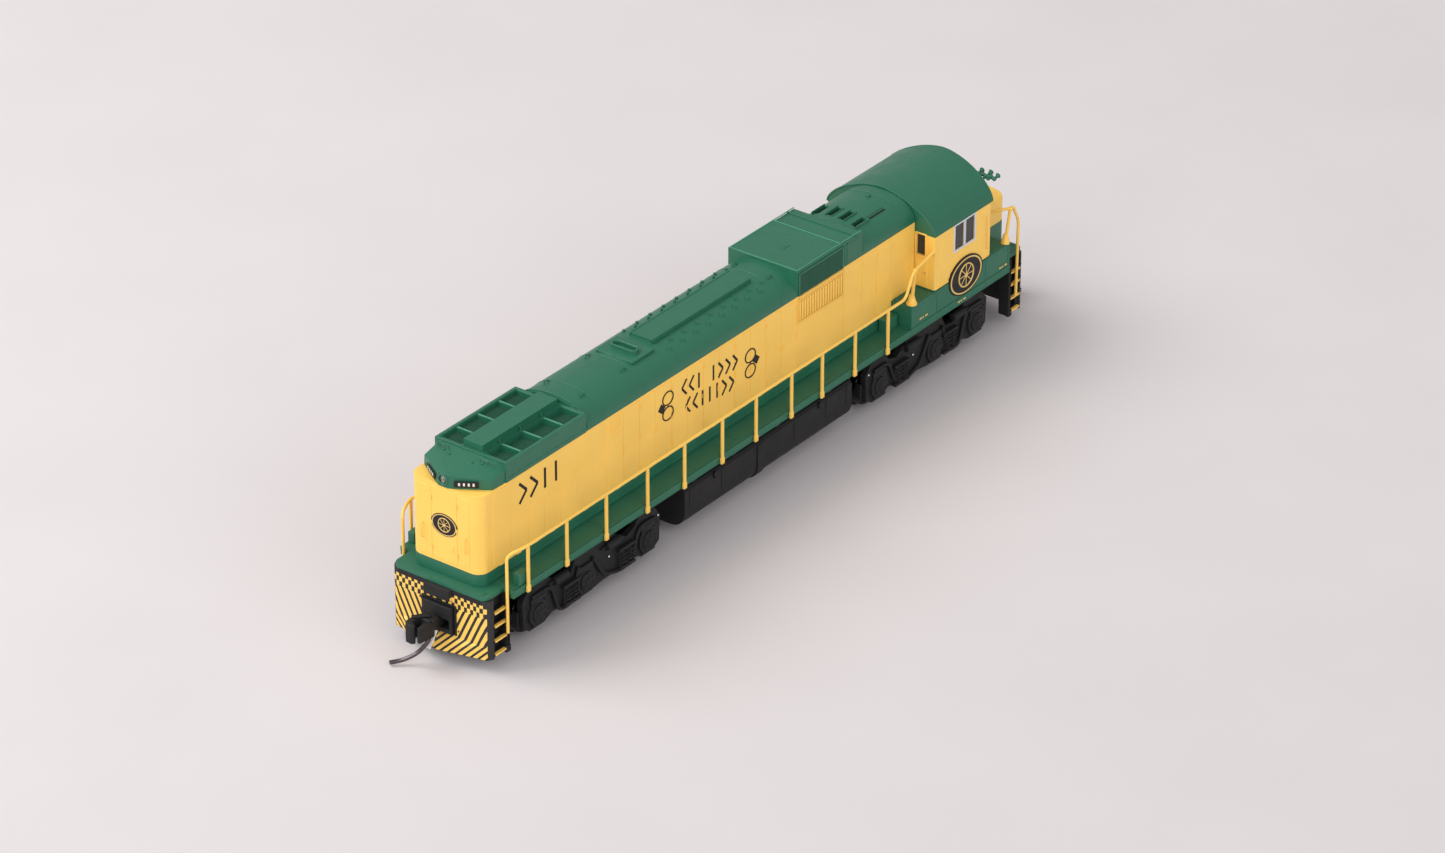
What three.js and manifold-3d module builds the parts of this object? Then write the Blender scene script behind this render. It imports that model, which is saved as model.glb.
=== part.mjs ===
// A model diesel locomotive in 1:160 scale: a six-axle hood unit with a cab near one end.
// Millimetres. +X is the cab end, +Y the left-hand side, +Z up. The origin is on the table
// under the middle of the locomotive, where the wheel flanges touch down.
import * as THREE from "three";
import { ConvexGeometry } from "three/addons/geometries/ConvexGeometry.js";
import { mergeVertices } from "three/addons/utils/BufferGeometryUtils.js";
import Module from "manifold-3d";

const wasm = await Module();
wasm.setup();

// ---------------------------------------------------------------- driving dimensions
const PILOT_X = 61.4; // outer face of both pilots
const PILOT_Z = 1.9; // lower edge of the pilot plate
const END_HALF = 7.8; // half-width of the end platforms and pilot plates
const SILL_HALF = 9.55; // half-width over the side sills
const SILL_REAR = -57.7; // rear end of the side sills, where the steps begin
const SILL_FRONT = 55.6;
const SILL_Z = 10.3; // lower edge of the side sills
const DECK_Z = 11.5; // top of the walkway
const PLATE = 0.6; // thickness of the deck plate and sill skirts
const RAISED_X = 31.3; // where the raised deck under the cab begins
const RAISED_Z = 14.95;
const INSET = 0.03; // how far the skirts stand back from the edge of the deck plate
const FIT = 0.03; // gap between shell pieces that rest on each other
const WALL = 0.7; // thickness of hood and cab walls

const HOOD_HALF = 5.9;
const HOOD_REAR = -59.9;
const HOOD_FRONT = 36.9; // meets the cab's rear wall
const HOOD_SIDE_Z = 25.3; // where the side turns into the arched roof
const HOOD_TOP_Z = 28.5;
const RADIATOR_REAR = -54.4;
const RADIATOR_FRONT = -37.6;
const RADIATOR_HALF = 5.95;
const RADIATOR_Z = 27.75;
const BOX_REAR = 9.1; // intake filter box on the roof
const BOX_MID = 19.4;
const BOX_FRONT = 24.3;
const BOX_HALF = 5.9;
const BOX_Z = 28.95;
const STACK_X = -21.7; // exhaust stack

const CAB_REAR = 37;
const CAB_FRONT = 50.7;
const CAB_HALF = 9.3;
const CAB_EAVE_Z = 23.6;
const CAB_TOP_Z = 28.7;
const NOSE_FRONT = 60.4;
const NOSE_HALF = 5.4;
const NOSE_Z = 20.1;

const AXLE_Z = 3.7; // flange radius, so the flanges rest on the table
const FLANGE_R = 3.7;
const TREAD_R = 3.175;
const WHEEL_IN = 3.8; // back faces of the wheels, each side of the centreline
const WHEEL_OUT = 5.5;
const TRUCK_X = 38.4; // swivel centre of each truck
const AXLES = [11.8, 1.7, -11.8]; // axle places, measured outward from the truck centre
const SHAFT_Z = 15.6;
const SHAFT_R = 0.75;
const WORM_R = 1.5;
const MODULE = 0.4; // gear tooth module
const WORM_GEAR_TEETH = 18;
const IDLER_TEETH = 20;
const AXLE_GEAR_TEETH = 12;
const GEAR_HALF = 0.85; // half the face width of every gear

const FRAME_HALF = 4.3; // half-width over the two frame castings
const COUPLER_X = 58.2; // coupler swing pin
const COUPLER_Z = 5.5;
const RAIL_Z = 17.3; // side handrail
const RAIL_Y = 9.85;
const RAIL_R = 0.27;
const STANCHIONS = [-55, -46.9, -38.5, -29.6, -21.5, -13.1, -5.5, 2.6, 9.7, 17.4, 25.2];

// ---------------------------------------------------------------- solid modelling helpers
function signedVolume(positions, index) {
  let volume = 0;
  const a = new THREE.Vector3();
  const b = new THREE.Vector3();
  const c = new THREE.Vector3();
  for (let i = 0; i < index.length; i += 3) {
    a.fromArray(positions, 3 * index[i]);
    b.fromArray(positions, 3 * index[i + 1]);
    c.fromArray(positions, 3 * index[i + 2]);
    volume += a.dot(b.cross(c)) / 6;
  }
  return volume;
}

// Turns a closed three.js geometry into a solid that can be joined and cut.
function solid(geometry, matrix = new THREE.Matrix4()) {
  let plain = geometry.clone().applyMatrix4(matrix);
  plain.deleteAttribute("normal");
  plain.deleteAttribute("uv");
  plain = mergeVertices(plain, 1e-4);
  const positions = new Float32Array(plain.attributes.position.array);
  const index = [];
  const source = plain.index.array;
  for (let i = 0; i < source.length; i += 3) {
    const [a, b, c] = [source[i], source[i + 1], source[i + 2]];
    if (a !== b && b !== c && c !== a) {
      index.push(a, b, c);
    }
  }
  if (signedVolume(positions, index) < 0) {
    index.reverse();
  }
  const mesh = new wasm.Mesh({
    numProp: 3,
    vertProperties: positions,
    triVerts: new Uint32Array(index),
  });
  return new wasm.Manifold(mesh);
}

function join(...solids) {
  return solids.flat().reduce((all, next) => all.add(next));
}

function cut(body, ...tools) {
  return tools.flat().reduce((left, tool) => left.subtract(tool), body);
}

function block(x0, x1, y0, y1, z0, z1) {
  const geometry = new THREE.BoxGeometry(x1 - x0, y1 - y0, z1 - z0);
  geometry.translate((x0 + x1) / 2, (y0 + y1) / 2, (z0 + z1) / 2);
  return solid(geometry);
}

function extruded(outline, depth) {
  const shape = new THREE.Shape(outline.map(([a, b]) => new THREE.Vector2(a, b)));
  return new THREE.ExtrudeGeometry(shape, { depth, bevelEnabled: false });
}

// An outline of [y, z] points, extruded along X.
function alongX(outline, x0, x1) {
  const turn = new THREE.Matrix4().makeBasis(
    new THREE.Vector3(0, 1, 0), new THREE.Vector3(0, 0, 1), new THREE.Vector3(1, 0, 0));
  return solid(extruded(outline, x1 - x0), turn.setPosition(x0, 0, 0));
}

// An outline of [x, z] points, extruded along Y.
function alongY(outline, y0, y1) {
  const turn = new THREE.Matrix4().makeBasis(
    new THREE.Vector3(1, 0, 0), new THREE.Vector3(0, 0, 1), new THREE.Vector3(0, -1, 0));
  return solid(extruded(outline, y1 - y0), turn.setPosition(0, y1, 0));
}

// An outline of [x, y] points, extruded along Z.
function alongZ(outline, z0, z1) {
  return solid(extruded(outline, z1 - z0), new THREE.Matrix4().setPosition(0, 0, z0));
}

function hull(points) {
  return solid(new ConvexGeometry(points.map((p) => new THREE.Vector3(...p))));
}

// A round bar between two points.
function bar(from, to, radius, sides = 8) {
  const start = new THREE.Vector3(...from);
  const span = new THREE.Vector3(...to).sub(start);
  const geometry = new THREE.CylinderGeometry(radius, radius, span.length(), sides);
  const turn = new THREE.Quaternion().setFromUnitVectors(
    new THREE.Vector3(0, 1, 0), span.clone().normalize());
  const middle = start.addScaledVector(span, 0.5);
  return solid(geometry, new THREE.Matrix4().compose(middle, turn, new THREE.Vector3(1, 1, 1)));
}

// A bent wire through a list of points, with a ball at each bend.
function wire(points, radius, sides = 6) {
  const pieces = [];
  points.forEach((point, i) => {
    if (i > 0) {
      pieces.push(bar(points[i - 1], point, radius, sides));
    }
    if (i > 0 && i < points.length - 1) {
      const ball = new THREE.SphereGeometry(radius * 1.02, sides, 3);
      pieces.push(solid(ball, new THREE.Matrix4().setPosition(...point)));
    }
  });
  return join(pieces);
}

function turnedAboutZ(body, degrees, x = 0, y = 0) {
  return body.rotate([0, 0, degrees]).translate([x, y, 0]);
}

// Places something made for the cab end: side = 1 keeps it there, side = -1 turns it to the other.
function atEnd(body, side) {
  return side > 0 ? body : turnedAboutZ(body, 180);
}

// A rectangle in plan with its two outer corners rounded.
function roundedEnd(xInner, xOuter, half, radius, steps = 5) {
  const outline = [[xInner, -half]];
  const direction = Math.sign(xOuter - xInner);
  for (const side of [-1, 1]) {
    for (let i = 0; i <= steps; i += 1) {
      const angle = (Math.PI / 2) * (side < 0 ? i / steps : 1 - i / steps);
      const x = xOuter - direction * radius * (1 - Math.sin(angle));
      const y = side * (half - radius * (1 - Math.cos(angle)));
      outline.push([x, y]);
    }
  }
  outline.push([xInner, half]);
  return direction > 0 ? outline : outline.reverse();
}

// A rectangle in elevation with an arched top: [y, z] points.
function archedOutline(half, zBottom, zSide, zTop, power = 2.1, steps = 16) {
  const outline = [[-half, zBottom], [half, zBottom]];
  for (let i = 0; i <= steps; i += 1) {
    const t = Math.cos((Math.PI * i) / steps);
    const rise = (1 - Math.abs(t) ** power) ** (1 / power);
    outline.push([half * t, zSide + (zTop - zSide) * rise]);
  }
  return outline;
}

// ---------------------------------------------------------------- materials and the assembly
function material(color, roughness, metalness = 0) {
  return new THREE.MeshStandardMaterial({ color, roughness, metalness });
}
const YELLOW = material(0xe9b44a, 0.45);
const GREEN = material(0x1f6b4c, 0.45);
const BLACK = material(0x1c1c1f, 0.6);
const DIECAST = material(0x77797c, 0.5, 0.8);
const STEEL = material(0xb8bbbf, 0.3, 0.9);
const BRASS = material(0xc6a04c, 0.3, 0.9);
const BRONZE = material(0xb07a45, 0.35, 0.9);
const NYLON = material(0xe6e0cf, 0.55);
const BLACKENED = material(0x2b2a2c, 0.45, 0.5);
const CLEAR = material(0xcfd6da, 0.1);
const BOARD = material(0x1c5a36, 0.5);
const LAMP = material(0xf4efdc, 0.2);

const locomotive = new THREE.Group();
locomotive.name = "locomotive";

function part(name, body, finish) {
  const mesh = body.getMesh();
  const geometry = new THREE.BufferGeometry();
  geometry.setAttribute("position", new THREE.BufferAttribute(mesh.vertProperties, 3));
  geometry.setIndex(new THREE.BufferAttribute(mesh.triVerts, 1));
  geometry.computeVertexNormals();
  const piece = new THREE.Mesh(geometry, finish);
  piece.name = name;
  locomotive.add(piece);
}

// ---------------------------------------------------------------- walkway and raised cab deck
function walkway() {
  const deckZ = DECK_Z - PLATE;
  const skirtIn = SILL_HALF - PLATE;
  const plan = [
    ...roundedEnd(SILL_FRONT, PILOT_X, END_HALF, 1),
    [SILL_FRONT, SILL_HALF], [SILL_REAR, SILL_HALF],
    ...roundedEnd(SILL_REAR, -PILOT_X, END_HALF, 1),
    [SILL_REAR, -SILL_HALF], [SILL_FRONT, -SILL_HALF],
  ];
  const parts = [alongZ(plan, deckZ, DECK_Z)];
  // Each side of the raised deck is a trough turned upside down, beside the hood and the nose.
  const near = HOOD_HALF + 0.1;
  const wells = [];
  for (const side of [-1, 1]) {
    const y = (from, to) => [Math.min(side * from, side * to), Math.max(side * from, side * to)];
    parts.push(block(SILL_REAR + INSET, SILL_FRONT - INSET, ...y(skirtIn, SILL_HALF - INSET),
      SILL_Z, deckZ + 0.2));
    parts.push(block(RAISED_X, SILL_FRONT - 2 * INSET, ...y(near, SILL_HALF - 2 * INSET),
      deckZ + 0.1, RAISED_Z));
    wells.push(block(RAISED_X + PLATE, SILL_FRONT - PLATE, ...y(near + PLATE, skirtIn - 0.2),
      deckZ - 1, RAISED_Z - PLATE));
  }
  const opening = block(-57.5, 57.5, -4.9, 4.9, deckZ - 1, DECK_Z + 1);
  return cut(join(parts), opening, wells);
}

// ---------------------------------------------------------------- pilots with their steps
function pilot(side) {
  const inner = PILOT_X - PLATE;
  const top = DECK_Z - PLATE - FIT;
  const plate = alongZ(roundedEnd(inner - 1, PILOT_X, END_HALF, 1), PILOT_Z, top);
  const hollow = block(inner - 2, inner, -END_HALF + 0.5, END_HALF - 0.5, PILOT_Z - 1, top + 1);
  const pocket = block(inner - 3, PILOT_X + 2, -2.65, 2.65, 4.05, 8.4);
  const steps = [-1, 1].flatMap((hand) => {
    const y = (a, b) => [Math.min(hand * a, hand * b), Math.max(hand * a, hand * b)];
    const treads = [8.85, 6.85, 4.65, 2.6].map((z) => block(57.5, 60.5, ...y(6.6, 8.2), z - 0.35, z));
    // The outer stringer of the steps carries on from the pilot plate round a soft corner.
    const stringer = hull([1.95, top].flatMap((z) => [
      [60.2, hand * 6.6, z], [61.3, hand * 6.6, z], [61.3, hand * 7.5, z], [61, hand * 7.85, z],
      [60.5, hand * 8.2, z], [60.2, hand * 8.2, z],
    ]));
    return [
      ...treads,
      stringer,
      block(57.3, 57.75, ...y(6.6, 8.4), 1.95, top),
      block(57.35, 61.2, ...y(6.6, 7.1), 2.1, top),
    ];
  });
  const centreStep = block(inner, PILOT_X + 0.45, -2.2, 2.2, 9.3, top);
  // The shallow plough below the coupler stands furthest out on the centre line.
  const plough = hull([-1, 1].flatMap((hand) => [
    [inner + 0.1, hand * 6.7, PILOT_Z + 0.02], [PILOT_X - 0.05, hand * 6.75, PILOT_Z + 0.02],
    [PILOT_X + 1.5, hand * 0.7, PILOT_Z + 0.02], [PILOT_X + 1.5, hand * 0.7, PILOT_Z + 0.3],
    [inner + 0.1, hand * 6.7, 4], [PILOT_X - 0.05, hand * 6.75, 4],
  ]));
  const body = cut(join(cut(join(plate), hollow), steps, centreStep, plough), pocket);
  return atEnd(body, side);
}

// ---------------------------------------------------------------- hood with its roof fittings
function rearCap() {
  const corners = [];
  for (const side of [-1, 1]) {
    corners.push([RADIATOR_REAR, side * 5.8, 25], [RADIATOR_REAR, side * 5.8, 26.8]);
    corners.push([-57, side * 5.65, 25], [-57, side * 5.6, 26.4]);
    corners.push([RADIATOR_REAR, side * 4.6, 27.7]);
    corners.push([-60.1, side * 0.8, 25], [-60, side * 0.8, 26.9], [-58.2, side * 1.6, 27.3]);
  }
  return hull(corners);
}

function radiatorTop() {
  const slab = block(RADIATOR_REAR, RADIATOR_FRONT, -RADIATOR_HALF, RADIATOR_HALF,
    24.6, RADIATOR_Z);
  const tools = [];
  const ribs = [-50.5, -46.2, -41.8];
  const shroud = 1.8;
  for (const side of [-1, 1]) {
    const bay = side > 0
      ? [[shroud, RADIATOR_Z + 1], [shroud + 0.3, 26.75], [5.3, 27.2], [5.5, RADIATOR_Z + 1]]
      : [[-5.5, RADIATOR_Z + 1], [-5.3, 27.2], [-shroud - 0.3, 26.75], [-shroud, RADIATOR_Z + 1]];
    const edges = [RADIATOR_REAR + 0.5, ...ribs, RADIATOR_FRONT - 0.4];
    for (let i = 1; i < edges.length; i += 1) {
      tools.push(alongX(bay, edges[i - 1] + 0.2, edges[i] - 0.2));
    }
  }
  const ridge = block(RADIATOR_REAR + 0.6, RADIATOR_FRONT - 0.6, -1.6, 1.6, 27, 28.8);
  return cut(slab, tools).add(ridge);
}

function exhaustStack() {
  const ring = (half, length) => {
    const outline = [];
    for (let i = 0; i < 12; i += 1) {
      const angle = (2 * Math.PI * (i + 0.5)) / 12;
      const shift = Math.sign(Math.sin(angle)) * (length - half);
      outline.push([STACK_X + half * Math.cos(angle), half * Math.sin(angle) + shift]);
    }
    return outline;
  };
  return {
    wall: alongZ(ring(0.8, 2.15), 27.4, 29),
    flue: alongZ(ring(0.5, 1.85), 28, 29.5),
  };
}

function longHood() {
  const plan = roundedEnd(HOOD_FRONT, HOOD_REAR, HOOD_HALF, 1.6);
  const column = alongZ(plan, DECK_Z + FIT, 40);
  const section = alongX(
    archedOutline(HOOD_HALF, DECK_Z, HOOD_SIDE_Z, HOOD_TOP_Z), HOOD_REAR - 1, HOOD_FRONT);
  const outer = column.intersect(section);
  const belowRadiator = block(HOOD_REAR - 1, RADIATOR_FRONT, -9, 9, 25, 40);
  const stack = exhaustStack();
  const strip = block(-18.2, 3.8, -1.8, 1.8, 27, HOOD_TOP_Z + 0.4);
  const filterBox = join(
    block(BOX_REAR, BOX_MID, -BOX_HALF, BOX_HALF, 24.4, BOX_Z),
    block(BOX_MID - 1, BOX_FRONT, -BOX_HALF, BOX_HALF, 24.4, BOX_Z - 0.3),
  );
  const body = join(cut(outer, belowRadiator), rearCap(), radiatorTop(), filterBox, strip,
    stack.wall);
  const inHalf = HOOD_HALF - WALL;
  const insideRear = block(HOOD_REAR + WALL, RADIATOR_FRONT, -inHalf, inHalf, DECK_Z - 1, 24.9);
  const insideFront = alongX(
    archedOutline(inHalf, DECK_Z - 1, HOOD_SIDE_Z - 0.2, HOOD_TOP_Z - 0.8),
    RADIATOR_FRONT - 0.1, HOOD_FRONT + 1);
  const lampHole = bar([-62, 0, 26.1], [-58, 0, 26.1], 0.66, 10);
  const roofSlots = [3.4, 1.1, -1, -3.1].map((y) => block(26, 28.8, y - 0.45, y + 0.45, 27, 30));
  return cut(body, insideRear, insideFront, stack.flue, lampHole, roofSlots);
}

// ---------------------------------------------------------------- cab, nose, glazing, horn
function cabOutline(half, zBottom, zSide, zTop) {
  return archedOutline(half, zBottom, zSide, zTop, 1.62, 20);
}

function cab() {
  const base = RAISED_Z + FIT;
  const walls = alongX(cabOutline(CAB_HALF, base, CAB_EAVE_Z, CAB_TOP_Z - 0.5),
    CAB_REAR, CAB_FRONT);
  const roofSection = alongX(
    cabOutline(CAB_HALF + 0.1, CAB_EAVE_Z, CAB_EAVE_Z + 0.1, CAB_TOP_Z),
    CAB_REAR, CAB_FRONT + 2);
  // The front edge of the roof bows forward over the windows.
  const roofPlan = [[CAB_REAR - 1, 9.6], [CAB_REAR - 1, -9.6]];
  for (let i = -4; i <= 4; i += 1) {
    roofPlan.push([CAB_FRONT + 0.4 + 1.2 * (1 - (i / 4) ** 2), 2.4 * i]);
  }
  const roof = roofSection.intersect(alongZ(roofPlan, 20, 30));
  const roofVoid = alongX(cabOutline(CAB_HALF - 0.5, CAB_EAVE_Z - 1, CAB_EAVE_Z, CAB_TOP_Z - 0.8),
    CAB_REAR - 2, CAB_FRONT + 2);
  const inside = alongX(cabOutline(CAB_HALF - WALL, base - 1, CAB_EAVE_Z, CAB_TOP_Z - 1.1),
    CAB_REAR + WALL, CAB_FRONT - WALL);
  const windows = [];
  for (const side of [-1, 1]) {
    const y = (a, b) => [Math.min(side * a, side * b), Math.max(side * a, side * b)];
    windows.push(block(41.9, 44.1, ...y(7, 12), 19.4, 23.3));
    windows.push(block(44.5, 46.7, ...y(7, 12), 19.4, 23.3));
    windows.push(block(36, 39, ...y(6.2, 7.7), 20.1, 23.4));
    windows.push(block(50, 53, ...y(1, 5), 21.4, 25.4));
    windows.push(block(50, 53, ...y(6.1, 8), 20, 23.6));
  }
  const eaves = cut(roof, roofVoid);
  const frameWay = block(CAB_REAR - 1, CAB_FRONT + 1, -4.9, 4.9, base - 1, 17.4);
  return cut(join(walls, eaves), inside, windows, frameWay);
}

function cabGlazing() {
  const half = CAB_HALF - WALL - FIT * 2;
  const x0 = CAB_REAR + WALL + 0.05;
  const x1 = CAB_FRONT - WALL - 0.05;
  const outer = block(x0, x1, -half, half, 17.5, 25.4);
  const trimmed = outer.intersect(
    alongX(cabOutline(half, 16, CAB_EAVE_Z - 0.1, CAB_TOP_Z - 1.4), x0 - 1, x1 + 1));
  const hollow = alongX(cabOutline(half - 0.4, 10, CAB_EAVE_Z - 0.6, 25), x0 + 0.4, x1 - 0.4);
  return cut(trimmed, hollow);
}

function nose() {
  const x0 = CAB_FRONT + 0.5;
  const column = alongZ(roundedEnd(x0, NOSE_FRONT, NOSE_HALF, 1.4), DECK_Z + FIT, 40);
  const section = alongX(
    archedOutline(NOSE_HALF, DECK_Z, NOSE_Z - 1.2, NOSE_Z, 2.6, 12), x0, NOSE_FRONT + 1);
  const inside = block(x0 - 1, NOSE_FRONT - WALL, -NOSE_HALF + WALL, NOSE_HALF - WALL,
    DECK_Z - 1, NOSE_Z - 1.9);
  const lampHole = bar([58, 0, 17], [62, 0, 17], 0.66, 10);
  return cut(column.intersect(section), inside, lampHole);
}

// A clear light pipe from its lamp to the lens in the end of the hood.
function headlight(side, z) {
  const x = side * (side > 0 ? NOSE_FRONT : -HOOD_REAR);
  const inner = side > 0 ? 53.2 : -58.2;
  return join(
    bar([inner, 0, z], [x, 0, z], 0.6, 10),
    bar([x - side * 0.2, 0, z], [x + side * 0.15, 0, z], 0.45, 10),
  );
}

function horn() {
  const x = 53;
  const z = 26;
  const bracket = bar([CAB_FRONT + 1.1, -6.9, z - 0.1], [x, -6.9, z], 0.22, 6);
  const manifold = bar([x, -5.3, z], [x, -8.5, z], 0.2, 6);
  const lengths = [0.95, -0.85, 1.15, -0.7, 0.85];
  const bells = lengths.map((length, i) => {
    const y = -5.5 - 0.7 * i;
    const mouth = [x + length, y, z + 0.15];
    const throat = [x + length * 0.55, y, z + 0.08];
    return join(bar([x, y, z], mouth, 0.15, 6), bar(throat, mouth, 0.32, 8));
  });
  return join(bracket, manifold, bells);
}

// ---------------------------------------------------------------- handrails
function sideHandrail(hand) {
  const y = hand * RAIL_Y;
  const rail = wire([
    [-58.03, hand * 8.72, 5.1], [-58.03, hand * 8.72, 16.2], [-57.5, hand * 9.1, 17], [-55.4, y, RAIL_Z],
    [29.3, y, RAIL_Z], [31.1, y, 20.8], [36.7, hand * 9.2, 21.3],
  ], RAIL_R);
  const posts = STANCHIONS.map((x) => block(x - 0.3, x + 0.3, Math.min(y - 0.2 * hand, y + 0.2 * hand),
    Math.max(y - 0.2 * hand, y + 0.2 * hand), SILL_Z, RAIL_Z));
  const footY = hand * 8.9;
  const tall = bar([32.2, footY, RAISED_Z + FIT], [31.5, y, 20.85], 0.3, 6);
  const foot = hull([
    [31.6, footY - 0.4, RAISED_Z + FIT], [32.9, footY - 0.4, RAISED_Z + FIT],
    [31.6, footY + 0.4, RAISED_Z + FIT], [32.9, footY + 0.4, RAISED_Z + FIT],
    [32, footY - 0.2, 16.6], [32.4, footY - 0.2, 16.6],
    [32, footY + 0.2, 16.6], [32.4, footY + 0.2, 16.6],
  ]);
  return join(rail, posts, tall, foot);
}

function frontHandrail(hand) {
  const y = hand * 9.3;
  const rail = wire([
    [53.6, hand * 6.3, 19.6], [55.6, y, 20.5], [56.4, y, 20.4], [58, hand * 9.2, 17.6],
    [58.5, hand * 8.72, 5],
  ], RAIL_R);
  const post = bar([55.2, hand * 8.9, RAISED_Z + FIT], [55.7, y, 20.4], 0.3, 6);
  const foot = hull([
    [54.6, hand * 8.5, RAISED_Z + FIT], [55.9, hand * 8.5, RAISED_Z + FIT],
    [54.6, hand * 9.3, RAISED_Z + FIT], [55.9, hand * 9.3, RAISED_Z + FIT],
    [55, hand * 8.7, 16.6], [55.4, hand * 8.7, 16.6],
    [55, hand * 9.1, 16.6], [55.4, hand * 9.1, 16.6],
  ]);
  return join(rail, post, foot);
}

// ---------------------------------------------------------------- couplers
function couplerBox(side) {
  const outer = block(56.9, 61.9, -2.45, 2.45, 4.25, 8.2);
  const cavity = block(57.1, 63, -1.95, 1.95, 4.8, 6.2);
  const pin = bar([COUPLER_X, 0, 4.5], [COUPLER_X, 0, 6.8], 0.4, 8);
  return atEnd(join(cut(outer, cavity), pin), side);
}

// The shank and the fixed half of the coupler head, pointing along +X from its swing pin.
function couplerHead(side) {
  const z0 = COUPLER_Z - 0.55;
  const z1 = COUPLER_Z + 0.55;
  const hub = bar([COUPLER_X, 0, z0], [COUPLER_X, 0, z1], 1, 12);
  const shank = block(COUPLER_X, 63.2, -0.55, 0.55, z0, z1);
  const head = alongZ([
    [62.6, -0.7], [63.8, -0.7], [64.3, -0.2], [65, 0], [66.2, 0.15], [66.4, 0.6], [65.2, 0.85],
    [63.2, 1], [62.6, 0.8],
  ], COUPLER_Z - 1.1, COUPLER_Z + 1.1);
  const eye = bar([COUPLER_X, 0, z0 - 1], [COUPLER_X, 0, z1 + 1], 0.5, 12);
  const socket = bar([63.9, 0.25, 3.6], [63.9, 0.25, COUPLER_Z], 0.31, 8);
  return atEnd(cut(join(hub, shank, head), eye, socket), side);
}

function knuckle(side) {
  const outline = [
    [64, -1.95], [65.9, -2], [66.6, -1.5], [66.7, -0.55], [66.3, -0.1], [65.9, -0.35],
    [65.7, -0.95], [64.9, -1.05], [64.2, -0.95],
  ];
  return atEnd(alongZ(outline, COUPLER_Z - 1.45, COUPLER_Z + 1.45), side);
}

// The steel pin under the head, curved outward like an air hose.
function tripPin(side) {
  const path = new THREE.CatmullRomCurve3([
    [63.9, 0.25, COUPLER_Z - 0.1], [63.9, 0.25, 4], [64.35, -0.2, 2.9], [65.1, -1.1, 1.7],
    [66.2, -2.4, 0.85], [67.4, -3.7, 0.5],
  ].map((p) => new THREE.Vector3(...p)));
  const circle = new THREE.Shape();
  circle.absarc(0, 0, 0.24, 0, 2 * Math.PI);
  const geometry = new THREE.ExtrudeGeometry(circle, {
    extrudePath: path, steps: 10, curveSegments: 2,
  });
  return atEnd(solid(geometry), side);
}

// ---------------------------------------------------------------- frame, motor and drive line
function frameHalf(hand) {
  const y = (a, b) => [Math.min(hand * a, hand * b), Math.max(hand * a, hand * b)];
  const outline = [
    [-56.5, 12.1], [-20.5, 12.1], [-20.5, 9.9], [20.5, 9.9], [20.5, 12.1], [51.4, 12.1],
    [51.4, 17], [36.2, 17], [36.2, 23.9], [-56.5, 23.9],
  ];
  const casting = alongY(outline, ...y(0.15, FRAME_HALF));
  const pockets = [
    block(-9.4, 9.4, ...y(-1, 3.75), 11, 20.2),
    block(-19.2, 19.2, ...y(-1, 3.85), 11.7, 19.5),
    block(-46.5, 46.5, ...y(-1, 1.95), 13.6, 17.6),
    bar([-24.5, -5, 20.8], [-24.5, 5, 20.8], 1, 12),
    bar([24.5, -5, 20.8], [24.5, 5, 20.8], 1, 12),
  ];
  for (const side of [-1, 1]) {
    const x = side * TRUCK_X;
    pockets.push(block(x - 6.2, x + 6.2, ...y(-1, 3.3), 8, 17.4));
    pockets.push(block(x - 12.4, x + 12.4, ...y(-1, 3.3), 8, 13.2));
    const b = side * 29.2;
    pockets.push(block(b - 1.4, b + 1.4, ...y(-1, 2.9), 13.1, 18.1));
  }
  return cut(casting, pockets);
}

function motor() {
  const half = 3.5;
  const flat = 4.1;
  const z = SHAFT_Z;
  const can = alongX([
    [-half, z - 3], [-2.6, z - flat], [2.6, z - flat], [half, z - 3], [half, z + 3],
    [2.6, z + flat], [-2.6, z + flat], [-half, z + 3],
  ], -7.4, 8.2);
  const endBell = alongX([
    [-3, z - 2.6], [-2.2, z - 3.5], [2.2, z - 3.5], [3, z - 2.6], [3, z + 2.6],
    [2.2, z + 3.5], [-2.2, z + 3.5], [-3, z + 2.6],
  ], -9.1, -7.3);
  const boss = bar([8.1, 0, z], [9, 0, z], 1.6, 16);
  const bore = bar([-12, 0, z], [12, 0, z], SHAFT_R + 0.08, 12);
  return cut(join(can, endBell, boss), bore);
}

function flywheel(side) {
  const disc = join(
    bar([side * 10.2, 0, SHAFT_Z], [side * 18.6, 0, SHAFT_Z], 3.5, 28),
    bar([side * 9.6, 0, SHAFT_Z], [side * 10.3, 0, SHAFT_Z], 1.4, 16),
  );
  return cut(disc, bar([side * 9, 0, SHAFT_Z], [side * 20, 0, SHAFT_Z], SHAFT_R + 0.01, 12));
}

function worm(side) {
  const centre = side * TRUCK_X;
  const profile = [[SHAFT_R + 0.06, -4.5], [1.1, -4.5]];
  const pitch = Math.PI * MODULE;
  for (let i = 0; i < 7; i += 1) {
    const h = (i - 3) * pitch;
    profile.push([1.1, h - 0.45], [WORM_R, h - 0.12], [WORM_R, h + 0.12], [1.1, h + 0.45]);
  }
  profile.push([1.1, 4.5], [SHAFT_R + 0.06, 4.5], [SHAFT_R + 0.06, -4.5]);
  const geometry = new THREE.LatheGeometry(profile.map(([r, h]) => new THREE.Vector2(r, h)), 10);
  const turn = new THREE.Matrix4().makeRotationZ(-Math.PI / 2);
  return solid(geometry, turn.setPosition(centre, 0, SHAFT_Z));
}

function bearingBlock(side) {
  const x = side * 29.2;
  const body = join(
    block(x - 1.1, x + 1.1, -1.7, 1.7, 13.8, 17.4),
    block(x - 0.5, x + 0.5, -2.6, 2.6, 13.4, 17.8),
  );
  return cut(body, bar([x - 3, 0, SHAFT_Z], [x + 3, 0, SHAFT_Z], SHAFT_R + 0.06, 16));
}

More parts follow.
